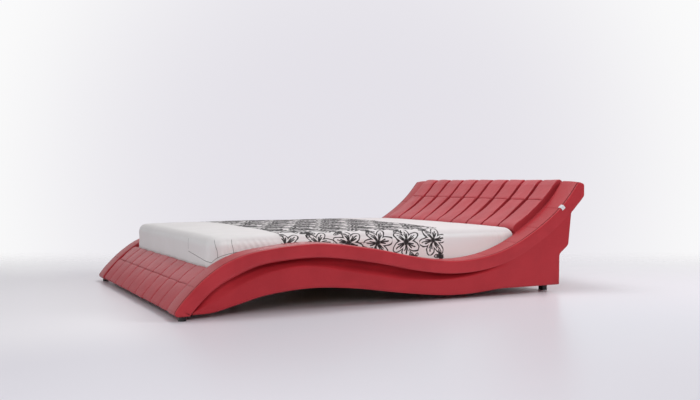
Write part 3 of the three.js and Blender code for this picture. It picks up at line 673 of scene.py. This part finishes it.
def ribbon_chains():
    """Top and bottom lines of the ribbon's outline, paired from the nose to the crest, with points
    crowded round the cross seams."""
    start = place_where(underside, 1, FOOT_CLEARANCE)
    corner = place_where(underside, 0, LENGTH - CREST_RADIUS * 0.62)
    seams = [place_where(wave, 0, along) for along in CROSS_SEAMS]
    crowded = np.add.outer(seams, np.array(SEAM_REACH) / LENGTH).ravel()
    crowded = crowded[(crowded > start) & (crowded < corner)]
    even = np.linspace(start, corner, 230)[1:-1]
    far = [t for t in even if np.abs(crowded - t).min() > 0.0028]
    middle = np.sort([start, *far, *crowded, corner])

    nose = nose_points(NOSE_RADIUS, np.linspace(NOSE_END, WAVE_START, 24))
    first_top = [*nose, *wave(np.linspace(0, start, 12))[1:]]
    first_bottom = [NOSE_CENTRE + (0.005, -NOSE_RADIUS), underside([start])[0]]

    back_top, back_middle = (LENGTH, CREST_HEIGHT - CREST_FALL), (LENGTH, BACK_SPLIT)
    crest = wave(np.linspace(corner, 1, 60))
    crest = crest[np.linalg.norm(crest - WAVE_END, axis=1) > CREST_RADIUS * 1.05]
    last_top = [
        *crest,
        *arc_corner(crest[-1], WAVE_END, back_top, CREST_RADIUS),
        *arc_corner(WAVE_END, back_top, back_middle, CREST_RADIUS),
        back_middle,
    ]
    low_start, back_low = underside([corner, place_where(underside, 0, LENGTH)])
    last_bottom = [
        low_start,
        *arc_corner(low_start, back_low, back_middle, CREST_RADIUS * 0.8)[1:],
        (LENGTH, BACK_SPLIT - 0.004),
    ]
    shares = np.linspace(0, 1, 30)
    top = [resample(first_top, shares)[:-1], wave(middle), resample(last_top, shares)[1:]]
    bottom = [resample(first_bottom, shares)[:-1], underside(middle), resample(last_bottom, shares)[1:]]
    return np.concatenate(top), np.concatenate(bottom)


def level(places):
    """Places across with no inset."""
    return [(place, 0.0) for place in places]


def cap_profile():
    """The cap across the ribbon: rounded edges, a crown and the long seam near the outer edge."""
    crown = [(place, CAP_RISE * (((place - CAP_MIDDLE) / CAP_HALF) ** 2 - 1)) for place in CAP_PLACES]
    seam = zip(SEAM_AT + SEAM_HALF * np.array([-1, -1 / 3, 0, 1 / 3, 1]), SEAM_DROPS)
    return np.array([
        *quarter(RIBBON_EDGE, 5), *crown, *seam, *outer_quarter(RIBBON_WIDTH, RIBBON_EDGE, 6)])


def cap_strip(top, run, off):
    """Places and insets over the top at each station, from the run along it and the distances from
    the cross seams."""
    profile = cap_profile()
    places = profile[:, 0]
    strip = np.repeat(profile[None], len(top), axis=0)
    # Cross seams cut a fine groove into the cap
    groove = np.maximum(np.exp(-(off / 0.0016) ** 2), 0.35 * np.exp(-(off / 0.006) ** 2))
    on_cap = (places > 0.004) & (places < SEAM_AT)
    strip[:, on_cap, 1] += 0.0022 * groove[:, None]
    # The seam and the crown run out under the nose and on the back of the crest
    fade = smooth_step(run, run[4], run[16]) * smooth_step(run, run[-8], run[-26])
    flat = (places > RIBBON_EDGE) & (places < RIBBON_WIDTH - RIBBON_EDGE)
    strip[:, flat, 1] *= fade[:, None]
    # Fuller towards the pads at the crest
    rise = smooth_step(top[:, 0], LENGTH - 0.22, LENGTH - 0.05) * smooth_step(run, run[-6], run[-22])
    fuller = CREST_RISE + CREST_RISE_INNER * (1 - places / RIBBON_WIDTH) ** 0.8
    strip[:, 2:, 1] -= (rise[:, None] * fuller)[:, 2:]
    return strip


def lower_strip(bottom, count):
    """Places and insets of the lower side: the edge is round over the hollow and flush with the
    skirt at the head end."""
    along = bottom[:, 0]
    flush = smooth_step(along / LENGTH, *HOLLOW_END_SHARES)
    soft = 0.011 + 0.011 * smooth_step(along, 0.10, 0.30) * smooth_step(along, 0.80, 0.45)
    free_end = smooth_step(along, BODY_BACK + 0.004, BODY_BACK + 0.052)
    radii = soft * (1 - flush) + RIBBON_EDGE * free_end * flush + 0.00005
    inner = quarter(RIBBON_EDGE, 5)
    strip = []
    for radius in radii:
        outer = outer_quarter(RIBBON_WIDTH, radius, 6)
        spread = count - len(inner) - len(outer) + 2
        middle = np.linspace(RIBBON_EDGE, RIBBON_WIDTH - radius, spread)[1:-1]
        strip.append([*inner, *level(middle), *outer])
    return np.array(strip)


def ribbon_cover(side, sign):
    top, bottom = ribbon_chains()
    run = lengths_along(top)
    tip, crest = top[:, 0].argmin(), top[:, 0].argmax()
    seam_runs = np.interp(CROSS_SEAMS, top[tip:crest, 0], run[tip:crest])
    off = np.abs(run[:, None] - seam_runs).min(axis=1)
    cap = cap_strip(top, run, off)
    lower = lower_strip(bottom, cap.shape[1])
    shares = np.repeat([np.linspace(0, 1, 9)[1:-1]], len(top), axis=0)
    points, faces = slab(
        top, bottom, cap + (INNER_HALF, 0), lower + (INNER_HALF, 0), shares,
        np.full(shares.shape, OUTER_HALF))
    piece = make_piece(
        f"ribbon_cover_{side}", points * (sign, 1, 1), faces, "leather", RIBBON_RED, 55,
        f"ribbon_{side}")
    # What the stitches follow: distances from the long seam and the cross seams, and the run
    seams = np.ones((len(points), 3))
    on_cap = np.broadcast_arrays(cap[0, :, 0] - SEAM_AT, off[:, None], run[:, None])
    seams[:cap[..., 0].size] = np.stack(on_cap, axis=2).reshape(-1, 3)
    add_attribute(piece, "seams", seams)


# Skirt covers
SKIRT_SPLIT = 1.95
HEM_RADIUS = 0.010
STEP_RADIUS = 0.018
LIP_ROUND = 0.09
LIP_POWER = 1.5


def back_line():
    """Back of the head end, from the leg over the slanting step to the upper body."""
    high = (BODY_BACK, underside([place_where(underside, 0, BODY_BACK)])[0, 1] - 0.015)
    return np.array([
        *np.linspace(LEG_FOOT + (0, 0.017), STEP_LOW - (0.0002, 0.022), 14),
        *arc_corner(LEG_FOOT, STEP_LOW, STEP_HIGH, STEP_RADIUS),
        *np.linspace(lerp(STEP_LOW, STEP_HIGH, 0.25), lerp(STEP_LOW, STEP_HIGH, 0.75), 4),
        *arc_corner(STEP_LOW, STEP_HIGH, high, STEP_RADIUS),
        *np.linspace(STEP_HIGH + (0.0025, 0.024), high, 16),
    ])


def skirt_chains():
    """Top and bottom lines of the skirt, paired from the foot to the back of the head end."""
    hem = [(along * LENGTH, up * HEAD_CLEARANCE) for along, up in HEM_SHARES]
    ends = (hem[0][0], SKIRT_SPLIT, BODY_BACK)
    start, split, end = [place_where(underside, 0, along) for along in ends]
    hem = catmull([*hem, LEG_FOOT], np.linspace(0, 1, 600))[0]
    first_top = underside(np.linspace(start, split, 190))
    first_bottom = np.column_stack([first_top[:, 0], np.interp(first_top[:, 0], *hem.T)])
    rest = hem[(hem[:, 0] > SKIRT_SPLIT) & (hem[:, 0] < LEG_FOOT[0] - 0.012)][::4]
    last_bottom = np.array([
        first_bottom[-1], *rest, *arc_corner(hem[-2], LEG_FOOT, STEP_LOW, HEM_RADIUS), *back_line()])
    last_top = resample(underside(np.linspace(split, end, 200)), length_shares(last_bottom))
    return np.concatenate([first_top[:-1], last_top]), np.concatenate([first_bottom[:-1], last_bottom])


def skirt_cover(side, sign):
    """A hollowed skirt: the hollow is deepest under the ribbon and runs out below its lip."""
    top, bottom = skirt_chains()
    share_top, share_bottom = top[:, :1] / LENGTH, bottom[:, :1] / LENGTH
    hollow_top = smooth_step(share_top, *HOLLOW_END_SHARES[::-1])
    hollow_bottom = smooth_step(share_bottom, *HOLLOW_END_SHARES[::-1])
    begun = lerp(HOLLOW_START_DEPTH_SHARE, 1, smooth_step(share_top, *HOLLOW_START_SHARES))
    deep = HOLLOW_HEM_DEPTH + HOLLOW_ADDED_DEPTH * begun
    lip = np.interp(share_top, *catmull(LIP_SHARES, np.linspace(0, 1, 200))[0].T)

    strip_top = [level(np.linspace(SKIRT_INNER, reach, 9)) for reach, in OUTER_HALF - deep * hollow_top]
    strip_bottom = []
    for reach, in OUTER_HALF - HOLLOW_HEM_DEPTH * hollow_bottom:
        flat = np.linspace(SKIRT_INNER, reach - HEM_RADIUS, 4)[:-1]
        strip_bottom.append([*level(flat), *outer_quarter(reach, HEM_RADIUS, 6)])

    above_lip = [*np.linspace(0, 0.7, 8)[1:-1], *np.linspace(0.7, 1, 7)]
    below_lip = [*np.linspace(0, 0.12, 4)[1:-1], *np.linspace(0.12, 1, 10)[:-1]]
    shares = np.column_stack([lip * above_lip, lerp(lip, 1, np.array(below_lip))])
    inside = 1 - (shares / lip) ** LIP_POWER
    cove = (inside + np.sqrt(inside ** 2 + LIP_ROUND ** 2)) / 2
    places = OUTER_HALF - lerp(hollow_top, hollow_bottom, shares) * lerp(HOLLOW_HEM_DEPTH, deep, cove)
    points, faces = slab(top, bottom, strip_top, strip_bottom, shares, places)
    make_piece(
        f"skirt_cover_{side}", points * (sign, 1, 1), faces, "leather", SKIRT_RED, 55, f"skirt_{side}")


def back_edging(side, sign):
    """A leather strip over the edge of the rail's board, between the skirt and the housing."""
    line = back_line()
    line[0, 1] = HEAD_CLEARANCE + 0.003
    out = unit_runs(line)[:, ::-1] * (1, -1)
    low, high = INNER_HALF + 0.0001, SKIRT_INNER - 0.0003
    thickness, edge, lift = 0.0030, 0.0012, 0.0003
    section = [(low, lift), (low, thickness - edge), (low + edge, thickness),
               (high - edge, thickness), (high, thickness - edge), (high, lift)]
    lines = [np.insert(line + out * away, 0, across * sign, axis=1) for across, away in section]
    make_piece(f"back_edging_{side}", *tube(np.array(lines)), "leather", RED, 50)


# Channelled pads
Groove = namedtuple("Groove", (
    "depth",
    "floor_low", "floor_high",  # half widths of the floor at both ends of the row
    "high_share",  # share of the depth at the high end
    "lean", "shoulder",  # of the sides: width and the radius at the top
    "side_depth", "side_floor",  # beside the ribbons
))
FOOT_GROOVE = Groove(0.008, 0.0006, 0.0006, 1.0, 0.001, 0.007, 0.020, 0.003)
HEAD_GROOVE_LOW = Groove(0.036, 0.006, 0.019, 1.0, 0.0015, 0.005, 0.043, 0.016)
HEAD_GROOVE_HIGH = HEAD_GROOVE_LOW._replace(floor_low=0.012, floor_high=0.015, high_share=0.2)
PAD_HALF = INNER_HALF - PAD_SIDE_GAP
PITCH = 2 * PAD_HALF / CHANNEL_COUNT
SEAM_GAP = 0.0002
FOOT_SINK, FOOT_PAD, FOOT_SEAM_SHARE = 0.006, 0.040, 0.62
HEAD_RISE, HEAD_PAD, HEAD_SEAM_SHARE, HEAD_PAD_LENGTH = 0.035, 0.045, 0.6, 0.426
HEAD_LIFT, HEAD_ROLL, HEAD_SEAT = 0.006, 0.042, 0.026


def channel_profile(floor, depth, groove):
    """Places and drops from the middle of a groove to the middle of a channel."""
    turn = np.linspace(0, math.pi / 2, 6)
    lean, shoulder = groove.lean, groove.shoulder
    top = floor + lean + shoulder
    face = np.linspace(top, PITCH / 2, 8)[1:]
    places = [0, floor * 0.7, floor, floor + lean / 2, *(top - shoulder * np.cos(turn)), *face]
    drops = [depth, depth, depth * 0.97, (depth + shoulder) / 2, *(shoulder - shoulder * np.sin(turn))]
    return np.array(places), np.array([*drops, *np.zeros(len(face))])


def channel_row(inner, outer):
    """Places, drops and channel numbers across a row, from the profiles of its grooves."""
    row = []
    for k in range(CHANNEL_COUNT):
        left = outer if k == 0 else inner
        right = outer if k == CHANNEL_COUNT - 1 else inner
        start, end = k * PITCH - PAD_HALF, (k + 1) * PITCH - PAD_HALF
        places = [*(start + left[0]), *(end - right[0][-2::-1])]
        drops = [*left[1], *right[1][-2::-1]]
        row += [*zip(places, drops, [k] * len(places))][min(k, 1):]
    return np.transpose(row)


def pad_piece(name, node, face, back, groove, ends, padded, seed):
    """A row of pads between paired lines of its face and its back, from the low end to the high
    end. Each end has the share of the thickness that is left there and the length of its swell."""
    thickness = np.linalg.norm(face - back, axis=1)
    out = (face - back) / thickness[:, None]
    along, way = lengths_along(face), length_shares(face)
    height = thickness.copy()
    for distance, (left, reach) in zip((along, along[-1] - along), ends):
        inside = np.clip(1 - distance / reach, 0, 1)
        height *= 1 - (1 - left) * (1 - np.sqrt(1 - inside ** 2))
    kept = lerp(1, groove.high_share, smooth_step(way, 0.72, 0.93))
    floors = lerp(groove.floor_low, groove.floor_high, smooth_step(way, 0, 0.85))
    side_depths = np.minimum(groove.side_depth * kept, height - 0.002)
    rows = [
        channel_row(channel_profile(floor, depth, groove),
                    channel_profile(groove.side_floor, side_depth, groove))
        for floor, depth, side_depth in zip(floors, groove.depth * kept, side_depths)]
    x, drop, channel = np.array(rows).transpose(1, 0, 2)

    # Crowned channels, each as full as chance makes it
    from_groove = PITCH / 2 - np.abs(x + PAD_HALF - (channel + 0.5) * PITCH)
    free = 1 - np.clip(drop / groove.shoulder, 0, 1)
    crown = (1 - (1 - 2 * from_groove / PITCH) ** 2) * free
    plump = np.random.default_rng(seed).uniform(-1, 1, CHANNEL_COUNT)[channel.astype(int)]
    height = height[:, None] - drop + (0.003 + 0.0012 * plump) * crown
    flat = back[:, None] + out[:, None] * height[:, :, None]
    surface = np.concatenate([x[:, :, None], flat], axis=2)

    # Soft unevenness of hand-sewn channels, and small gathers beside the grooves
    even = surface.reshape(-1, 3)
    lumps = waves(even, 0.16, seed + 1) * 0.0011 + waves(even, 0.05, seed + 2) * 0.0004
    gathers = waves(even * (0.25, 1, 1), 0.021, seed + 3, 9) * 0.0009
    beside = np.exp(-(from_groove / 0.030) ** 2)
    push = (lumps.reshape(x.shape) + gathers.reshape(x.shape) * beside) * free
    surface[:, :, 1:] += push[:, :, None] * out[:, None]

    behind = [np.insert(back, 0, place, axis=1) for place in np.linspace(PAD_HALF, -PAD_HALF, 4)]
    skin = tube(np.array([*surface.transpose(1, 0, 2), *behind]))
    make_piece(name, *skin, "leather", RED, 60, node, padded)


def stretch(depth, low=0.0, high=1.0):
    """A line at a depth under the wave between two places, as a function of shares of its way."""
    return lambda shares: under(lerp(low, high, np.asarray(shares, float)), depth)


def foot_pads():
    depth = FOOT_SINK + FOOT_PAD
    face = stretch(FOOT_SINK, 0, place_where(stretch(FOOT_SINK), 0, FOOT_DEPTH - 0.0003))
    back_start = place_where(stretch(depth), 1, NOSE_CENTRE[1])
    back = stretch(depth, back_start, place_where(stretch(depth), 0, FOOT_DEPTH))
    # The lower row begins with a roll round the nose
    heel = NOSE_CENTRE + (0.028, FOOT_SINK - NOSE_RADIUS)
    roll = np.linspace(0, 1, 14)[:-1]
    roll_face = nose_points(NOSE_RADIUS - FOOT_SINK, lerp(NOSE_END, WAVE_START, roll))
    roll_back = lerp(heel, back([0])[0], roll[:, None])
    gap, shares = SEAM_GAP / FOOT_DEPTH, np.linspace(0, 1, 34)
    low, high = shares * (FOOT_SEAM_SHARE - gap), lerp(FOOT_SEAM_SHARE + gap, 1, shares)
    pad_piece(
        "foot_pad_lower", "footboard_pad_lower", np.concatenate([roll_face, face(low)]),
        np.concatenate([roll_back, back(low)]), FOOT_GROOVE, ((0.97, 0.010), (0.90, 0.012)), 0.9, 11)
    pad_piece(
        "foot_pad_upper", "footboard_pad_upper", face(high), back(high), FOOT_GROOVE,
        ((0.90, 0.012), (0.80, 0.020)), 0.9, 21)


def head_pads():
    depth = HEAD_PAD - HEAD_RISE
    start = place_where(stretch(depth), 0, HEAD_INNER + HEAD_LIFT)
    end = place_where(stretch(depth), 1, CREST_HEIGHT - HEAD_SEAT)
    face, back = stretch(-HEAD_RISE, start, end), stretch(depth, start, end)
    gap = SEAM_GAP / HEAD_PAD_LENGTH
    low = np.linspace(0, HEAD_SEAM_SHARE - gap, 52)
    pad_piece(
        "head_pad_lower", "headboard_pad_lower", face(low), back(low), HEAD_GROOVE_LOW,
        ((0.40, 0.040), (0.84, 0.016)), 0.8, 31)
    # The upper row ends with a roll over the crest
    high = np.linspace(HEAD_SEAM_SHARE + gap, 0.93, 12)
    pairs = [*np.column_stack([face(high), back(high)])]
    for step, (degrees, share) in enumerate([(118, 1), (92, 0.95), (66, 0.7)], 1):
        angle, rest = math.radians(degrees), back([1])[0] + (HEAD_LIFT * step, 0)
        reach = HEAD_ROLL * share * np.array([math.cos(angle), math.sin(angle)])
        pairs.append([*(rest + reach), *rest])
    smooth = catmull(pairs, np.linspace(0, 1, 400))[0]
    kept = np.interp(np.linspace(0, 1, 50), length_shares(smooth[:, :2]), np.arange(400))
    smooth = smooth[kept.round().astype(int)]
    pad_piece(
        "head_pad_upper", "headboard_pad_upper", smooth[:, :2], smooth[:, 2:], HEAD_GROOVE_HIGH,
        ((0.84, 0.018), (0.75, 0.012)), 0.8, 41)


# Mattress cover, drawn about its middle
COVER_HALF = np.array([MATTRESS_HIGH.x - MATTRESS_LOW.x, MATTRESS_HIGH.y - MATTRESS_LOW.y]) / 2
COVER_MIDDLE = (MATTRESS_HIGH.y + MATTRESS_LOW.y) / 2 - FOOT_Y
COVER_BOTTOM, COVER_TOP = MATTRESS_LOW.z, MATTRESS_HIGH.z - 0.013
COVER_CORNER, COVER_EDGE, COVER_HEM, COVER_CROWN = 0.072, 0.050, 0.030, 0.024
CROWN_START = COVER_TOP - 0.030
COVER_CENTRES = COVER_HALF - COVER_CORNER
COVER_CELLS, CORNER_STEPS = (96, 240), 10
PRINT_START, PRINT_END = (0.629, 0.632), (1.690, 1.687)


def closer_at_ends(half, count):
    """Places from -half to half that lie closer together near both ends."""
    turn = 0.43 * math.pi
    return half * np.sin(np.linspace(-turn, turn, count + 1)) / math.sin(turn)


def cover_ring():
    """Round the outline: the column and row of the top's grid that each place starts from, and the
    direction in which it lies."""
    columns, rows = COVER_CELLS
    corners = [(columns, 0), (columns, rows), (0, rows), (0, 0)]
    cells, angles = [], []
    for side, corner in enumerate(corners):
        following = corners[(side + 1) % 4]
        count = (rows, columns)[side % 2] + 1
        cells += [*np.linspace(corner, following, count), *[following] * (CORNER_STEPS - 1)]
        turn = np.arange(1, CORNER_STEPS) / CORNER_STEPS
        angles += [*[side] * count, *(side + turn)]
    angles = np.array(angles) * math.pi / 2
    return np.round(cells).astype(int), np.stack([np.cos(angles), np.sin(angles)], axis=1)


def cover_section():
    """Reach and height from under the bottom's edge, round the side and onto the top."""
    low = [(COVER_CORNER - b, COVER_BOTTOM + a) for a, b in quarter(COVER_HEM, 8)[1:]]
    wall = np.linspace(COVER_BOTTOM + COVER_HEM, COVER_TOP - COVER_EDGE, 14)[1:]
    high = [(COVER_CORNER - a, COVER_TOP - b) for a, b in quarter(COVER_EDGE, 8)[1:]]
    return np.array([
        (COVER_CORNER * 0.5, COVER_BOTTOM), (COVER_CORNER - COVER_HEM, COVER_BOTTOM), *low,
        *[(COVER_CORNER, height) for height in wall], *high, (COVER_CORNER * 0.3, COVER_TOP)])


def cover_relief(centres, out, heights):
    """Relief of the sides: a waist, upright folds at the corners, slanting pulls low on the sides
    and wrinkles near the foot."""
    place = lengths_along(centres + out * COVER_CORNER)
    up = np.clip((heights - COVER_BOTTOM) / (COVER_TOP - COVER_BOTTOM), 0, 1)
    waist = np.sin(math.pi * up)
    near_corner = np.exp(-(np.hypot(*(np.abs(centres) - COVER_CENTRES).T) / 0.12) ** 2)
    sway = np.sin(heights * 31 + place * 3.0)
    folds = ripples(place + sway * 0.006, 0.034, 1.3) * 0.0016
    folds += ripples(place - sway * 0.009, 0.021) * 0.0009
    pulls = ripples(place - heights * 0.9, 0.047, 0.8 * np.sin(place * 9))
    pulls *= np.clip(np.sin(place * 2.1 + 0.6), 0, 1) * 0.0013 + 0.0003
    from_foot = centres[:, 1] + COVER_CENTRES[1]
    wrinkles = ripples(from_foot + heights * 0.7, 0.034, 0.7 * np.sin(from_foot * 17)) * 0.0024
    wrinkles *= np.exp(-((from_foot - 0.22) / 0.13) ** 2) * (np.abs(out[:, 0]) > 0.999)
    return (folds * near_corner * waist ** 0.7 + pulls * smooth_step(up, 0.95, 0.35) - 0.004 * waist ** 2
            + wrinkles * smooth_step(up, 0.30, 0.60) * smooth_step(up, 1.0, 0.86))


def cover_skin():
    """Points and faces of the cover: the sides, and a grid for the top and for the bottom."""
    xs, ys = (closer_at_ends(half, count) for half, count in zip(COVER_CENTRES, COVER_CELLS))
    cells, out = cover_ring()
    centres = np.column_stack([xs[cells[:, 0]], ys[cells[:, 1]]])
    reach, heights = np.split(cover_section(), 2, axis=1)
    reach = reach + cover_relief(centres, out, heights)
    sides = np.empty((*reach.shape, 3))
    sides[:, :, :2] = centres + out * reach[:, :, None]
    sides[:, :, 2] = heights
    index = numbered(sides)
    points, count, faces = [sides.reshape(-1, 3)], index.size, grid_faces(index.T, closed=True)
    for rim, height, turned in ((index[-1], COVER_TOP, 1), (index[0], COVER_BOTTOM, -1)):
        grid = np.array([[(x, y, height) for y in ys] for x in xs])
        numbers = numbered(grid, count)
        inner = numbers[cells[:, 0], cells[:, 1]]
        # Between the rim and the grid, a face at a corner's centre is a triangle
        band = zip(rim, np.roll(rim, -1), np.roll(inner, -1), inner)
        band = [list(dict.fromkeys(face)) for face in band]
        faces += [face[::turned] for face in [*grid_faces(numbers), *band]]
        points.append(grid.reshape(-1, 3))
        count += numbers.size
    return np.concatenate(points), faces


def crown_cover(points):
    """Raises the crown of the top, with faint hollows."""
    share = np.prod(1 - np.abs(points[:, :2] / COVER_HALF) ** (3, 4), axis=1)
    share = np.clip(share, 0, 1) ** 0.6
    flat = points * (1, 1, 0)
    ripple = waves(flat, 0.42, 5) * 0.0016 + waves(flat, 0.15, 6) * 0.0006
    lift = COVER_CROWN * smooth_step(points[:, 2], CROWN_START, COVER_TOP) + ripple - 0.002
    points[:, 2] += np.where(points[:, 2] > CROWN_START, lift * share, 0)


def square_head(points):
    """Makes the corners at the head squarer."""
    beyond = points[:, :2] * (np.sign(points[:, 0])[:, None] ** (1, 0)) - COVER_CENTRES
    at_head = (beyond > 1e-6).all(axis=1)
    reach = beyond[at_head]
    turned = reach / np.linalg.norm(reach, axis=1)[:, None]
    square = COVER_CENTRES + reach * (turned ** 6).sum(axis=1)[:, None] ** (-1 / 6)
    points[at_head, :2] = square * np.sign(points[at_head, :1]) ** (1, 0)


def mattress():
    points, faces = cover_skin()
    crown_cover(points)
    x, y, z = points.T.copy()
    square_head(points)
    points[:, 1] += COVER_MIDDLE
    piece = make_piece(
        "mattress_cover", points, faces, "mattress_cover", COVER, 80, "mattress", 0.85)

    # The cloth laid flat: the sides fold out past the top's edges
    to_side, to_end = COVER_HALF[0] - np.abs(x), COVER_HALF[1] - np.abs(y)
    drop, along = COVER_TOP - z, y + COVER_MIDDLE
    fold = np.where(to_side < COVER_EDGE, np.clip(drop, 0, None), 0)
    band = smooth_step(along, *PRINT_START) * smooth_step(along, *PRINT_END)
    band *= 1 + smooth_step(to_side, 0.01, 0.10)
    add_attribute(piece, "print", x + np.sign(x) * fold, along, band)
    # Where the seams of the foot's corners are, and where the sides below the top's edge get painted
    # light
    height, past_corner = z - COVER_BOTTOM, to_end - to_side
    seamed = (drop > COVER_EDGE * 0.2) & (height > 0.012) & (y < 0) & ((past_corner > 0) | (x > 0))
    add_attribute(piece, "corner", past_corner, height, seamed)
    # Painted light on the sides below the top's edge, weaker on the ends
    below = smooth_step(drop, COVER_EDGE * 0.3, COVER_EDGE * 0.7) * np.clip(past_corner / 0.08, 0.4, 1)
    add_attribute(piece, "side", below, below, below)


def label():
    """Folded cloth label in the outer seam of the right ribbon. It lies on the cap and bends round
    the edge onto the ribbon's face."""
    place, length, thickness, reach, edge = 2.468, 0.028, 0.0012, 0.013, 0.009
    path = np.array([
        (-reach - edge, 0.0), *-quarter(edge, 6)[:, ::-1],
        *[(0.0, -edge - reach * share) for share in (0.3, 0.7, 1.0)]])
    lift = thickness * (1 + 1.2 * np.linspace(-1, 1, len(path)) ** 4)
    out = unit_runs(path)[:, ::-1] * (-1, 1)
    outer, inner = (path + out * (lift + way * thickness / 2)[:, None] for way in (1, -1))
    ts = place_where(wave, 0, place) + np.linspace(-length / 2, length / 2, 7) / LENGTH
    section = [*outer, *inner[::-1]]
    lines = [np.insert(under(ts, -up), 0, OUTER_HALF + across, axis=1) for across, up in section]
    make_piece("seam_label", *tube(np.array(lines)), "leather", LABEL, 50)


def dress_solids():
    """Finishes of the solids that show as they are, by how their names start."""
    finishes = {
        "slat_0": SLAT_WOOD, "slat_1": SLAT_WOOD, "rail_core": BOARD_WOOD, "slat_ledger": BOARD_WOOD,
        "foot_cleat": BOARD_WOOD, "head_cleat": BOARD_WOOD, "centre_beam": BOARD_WOOD,
        "footboard_frame": DARK_BOARD, "headboard_frame": RED, "headboard_back_cover": BACK_CLOTH,
        "slat_strap": WEBBING, "beam_hanger": STEEL, "corner_bracket": STEEL, "bolt": STEEL,
        "centre_leg": PLASTIC, "foot_glide": PLASTIC, "head_foot": PLASTIC,
    }
    for name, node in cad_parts.items():
        for start, material in finishes.items():
            if name.startswith(start):
                for place in node.material_slots:
                    place.material = material


# Studio
VIEW_YAW, VIEW_DROP = math.radians(62.393), math.radians(1.305)
FLOOR_REACH = 12.0


def add_camera():
    data = bpy.data.cameras.new("camera")
    data.lens = 42.43
    data.sensor_width = 36.0
    camera = new_object("camera", data)
    camera.location = (4.933, -2.437, 0.693)
    camera.rotation_euler = (math.pi / 2 - VIEW_DROP, 0, VIEW_YAW)
    bpy.context.scene.camera = camera


def view_depth(x, y):
    """How far a place lies along the view."""
    return y * math.cos(VIEW_YAW) - x * math.sin(VIEW_YAW)


def add_floor():
    """A pale floor that runs out into the backdrop behind the bed, and far away all round, with a
    painted reflection of the bed beside its right side and painted light in front of its foot.
    """
    graph = new_graph("floor_paint")
    x, y, _ = graph.split(graph.place())
    depth = view_depth(x, y)
    beside, beyond = (abs(x) - 1.1).most(0.0), (abs(y) - 1.4).most(0.0)
    clear = (beside * beside + beyond * beyond).call("SQRT").step(0.05, 0.9)
    far = (x * x + y * y).call("SQRT").step(3.3, 6.2)
    gone = (depth.step(-0.1, 2.7) * clear).most(far)
    tone = graph.mix(depth.step(-2.6, 0.6), (0.755, 0.745, 0.805), (0.825, 0.81, 0.86))
    # Painted reflection: a darker patch beside the bed's right side stands in for the bed's reflection.
    near = x.step(0.8, 1.5) * x.step(2.9, 1.9) * y.step(-1.9, -1.0) * y.step(2.2, 0.4)
    tone = graph.mix(near, tone, (0.73, 0.735, 0.79))
    # Painted light: a paler patch of floor in front of the foot.
    foot = y.step(-1.2, -1.7) * x.step(1.7, 0.8)
    tone = graph.mix(foot, tone, (0.90, 0.89, 0.93))
    paint = graph.surface(Base_Color=tone, Roughness=0.3, Specular_IOR_Level=0.17)
    mixed = graph.mix_shaders(gone, paint, graph.add("ShaderNodeBsdfTransparent"))

    mesh = bpy.data.meshes.new("floor")
    corners = [(x * FLOOR_REACH, y * FLOOR_REACH, 0) for x, y in ((-1, -1), (1, -1), (1, 1), (-1, 1))]
    mesh.from_pydata(corners, [], [(0, 1, 2, 3)])
    mesh.materials.append(graph.show(mixed))
    new_object("floor", mesh)


def add_light(name, place, aim, size, watts, reflected=True):
    data = bpy.data.lights.new(name, "AREA")
    data.shape = "RECTANGLE"
    data.size, data.size_y = size
    data.energy = watts
    lamp = new_object(name, data)
    lamp.location = place
    lamp.visible_glossy = reflected
    lamp.rotation_euler = (Vector(aim) - Vector(place)).to_track_quat("-Z", "Y").to_euler()


def add_world():
    """A studio with a white sweep behind the bed and a dim side behind the camera."""
    world = bpy.data.worlds.new("studio")
    bpy.context.scene.world = world
    graph = Graph(world, "ShaderNodeOutputWorld")
    x, y, z = graph.split(graph.add("ShaderNodeTexCoord").outputs["Generated"])
    path = graph.add("ShaderNodeLightPath")
    depth = view_depth(x, y)
    away = z * 0.5 - (y * math.cos(VIEW_YAW) + x * math.sin(VIEW_YAW))
    sky = graph.mix(away.step(-0.6, 0.3), (0.30, 0.29, 0.30), (1.0, 0.985, 1.0))
    low_ahead = depth.step(0.2, 0.8) * z.step(0.32, 0.10) * 0.5
    backdrop = graph.mix(depth.step(0.90, 1.0), (0.96, 0.96, 0.962), (0.775, 0.755, 0.81))
    lit = graph.add("ShaderNodeBackground", {
        "Color": graph.mix(low_ahead, sky, (0.40, 0.38, 0.42)),
        "Strength": Number(graph, path.outputs["Is Glossy Ray"]) * 0.47 + 0.50})
    seen = graph.add("ShaderNodeBackground", {"Color": backdrop})
    graph.show(graph.mix_shaders(path.outputs["Is Camera Ray"], lit, seen))


add_camera()
add_floor()
add_world()
add_light("top_softbox", (0.3, 0.2, 2.9), (0.1, 0.1, 0), (1.5, 1.5), 38)
add_light("side_softbox", (3.3, 4.2, 3.0), (0, 0.2, 0.2), (2.0, 2.0), 118, False)
add_light("front_lamp", (4.7, -3.1, 1.9), (0, -0.3, 0.2), (1.6, 1.0), 62, False)

for side_name, sign in (("right", 1), ("left", -1)):
    ribbon_cover(side_name, sign)
    skirt_cover(side_name, sign)
    back_edging(side_name, sign)
foot_pads()
head_pads()
mattress()
label()
dress_solids()

bpy.context.scene.view_settings.view_transform = "Standard"
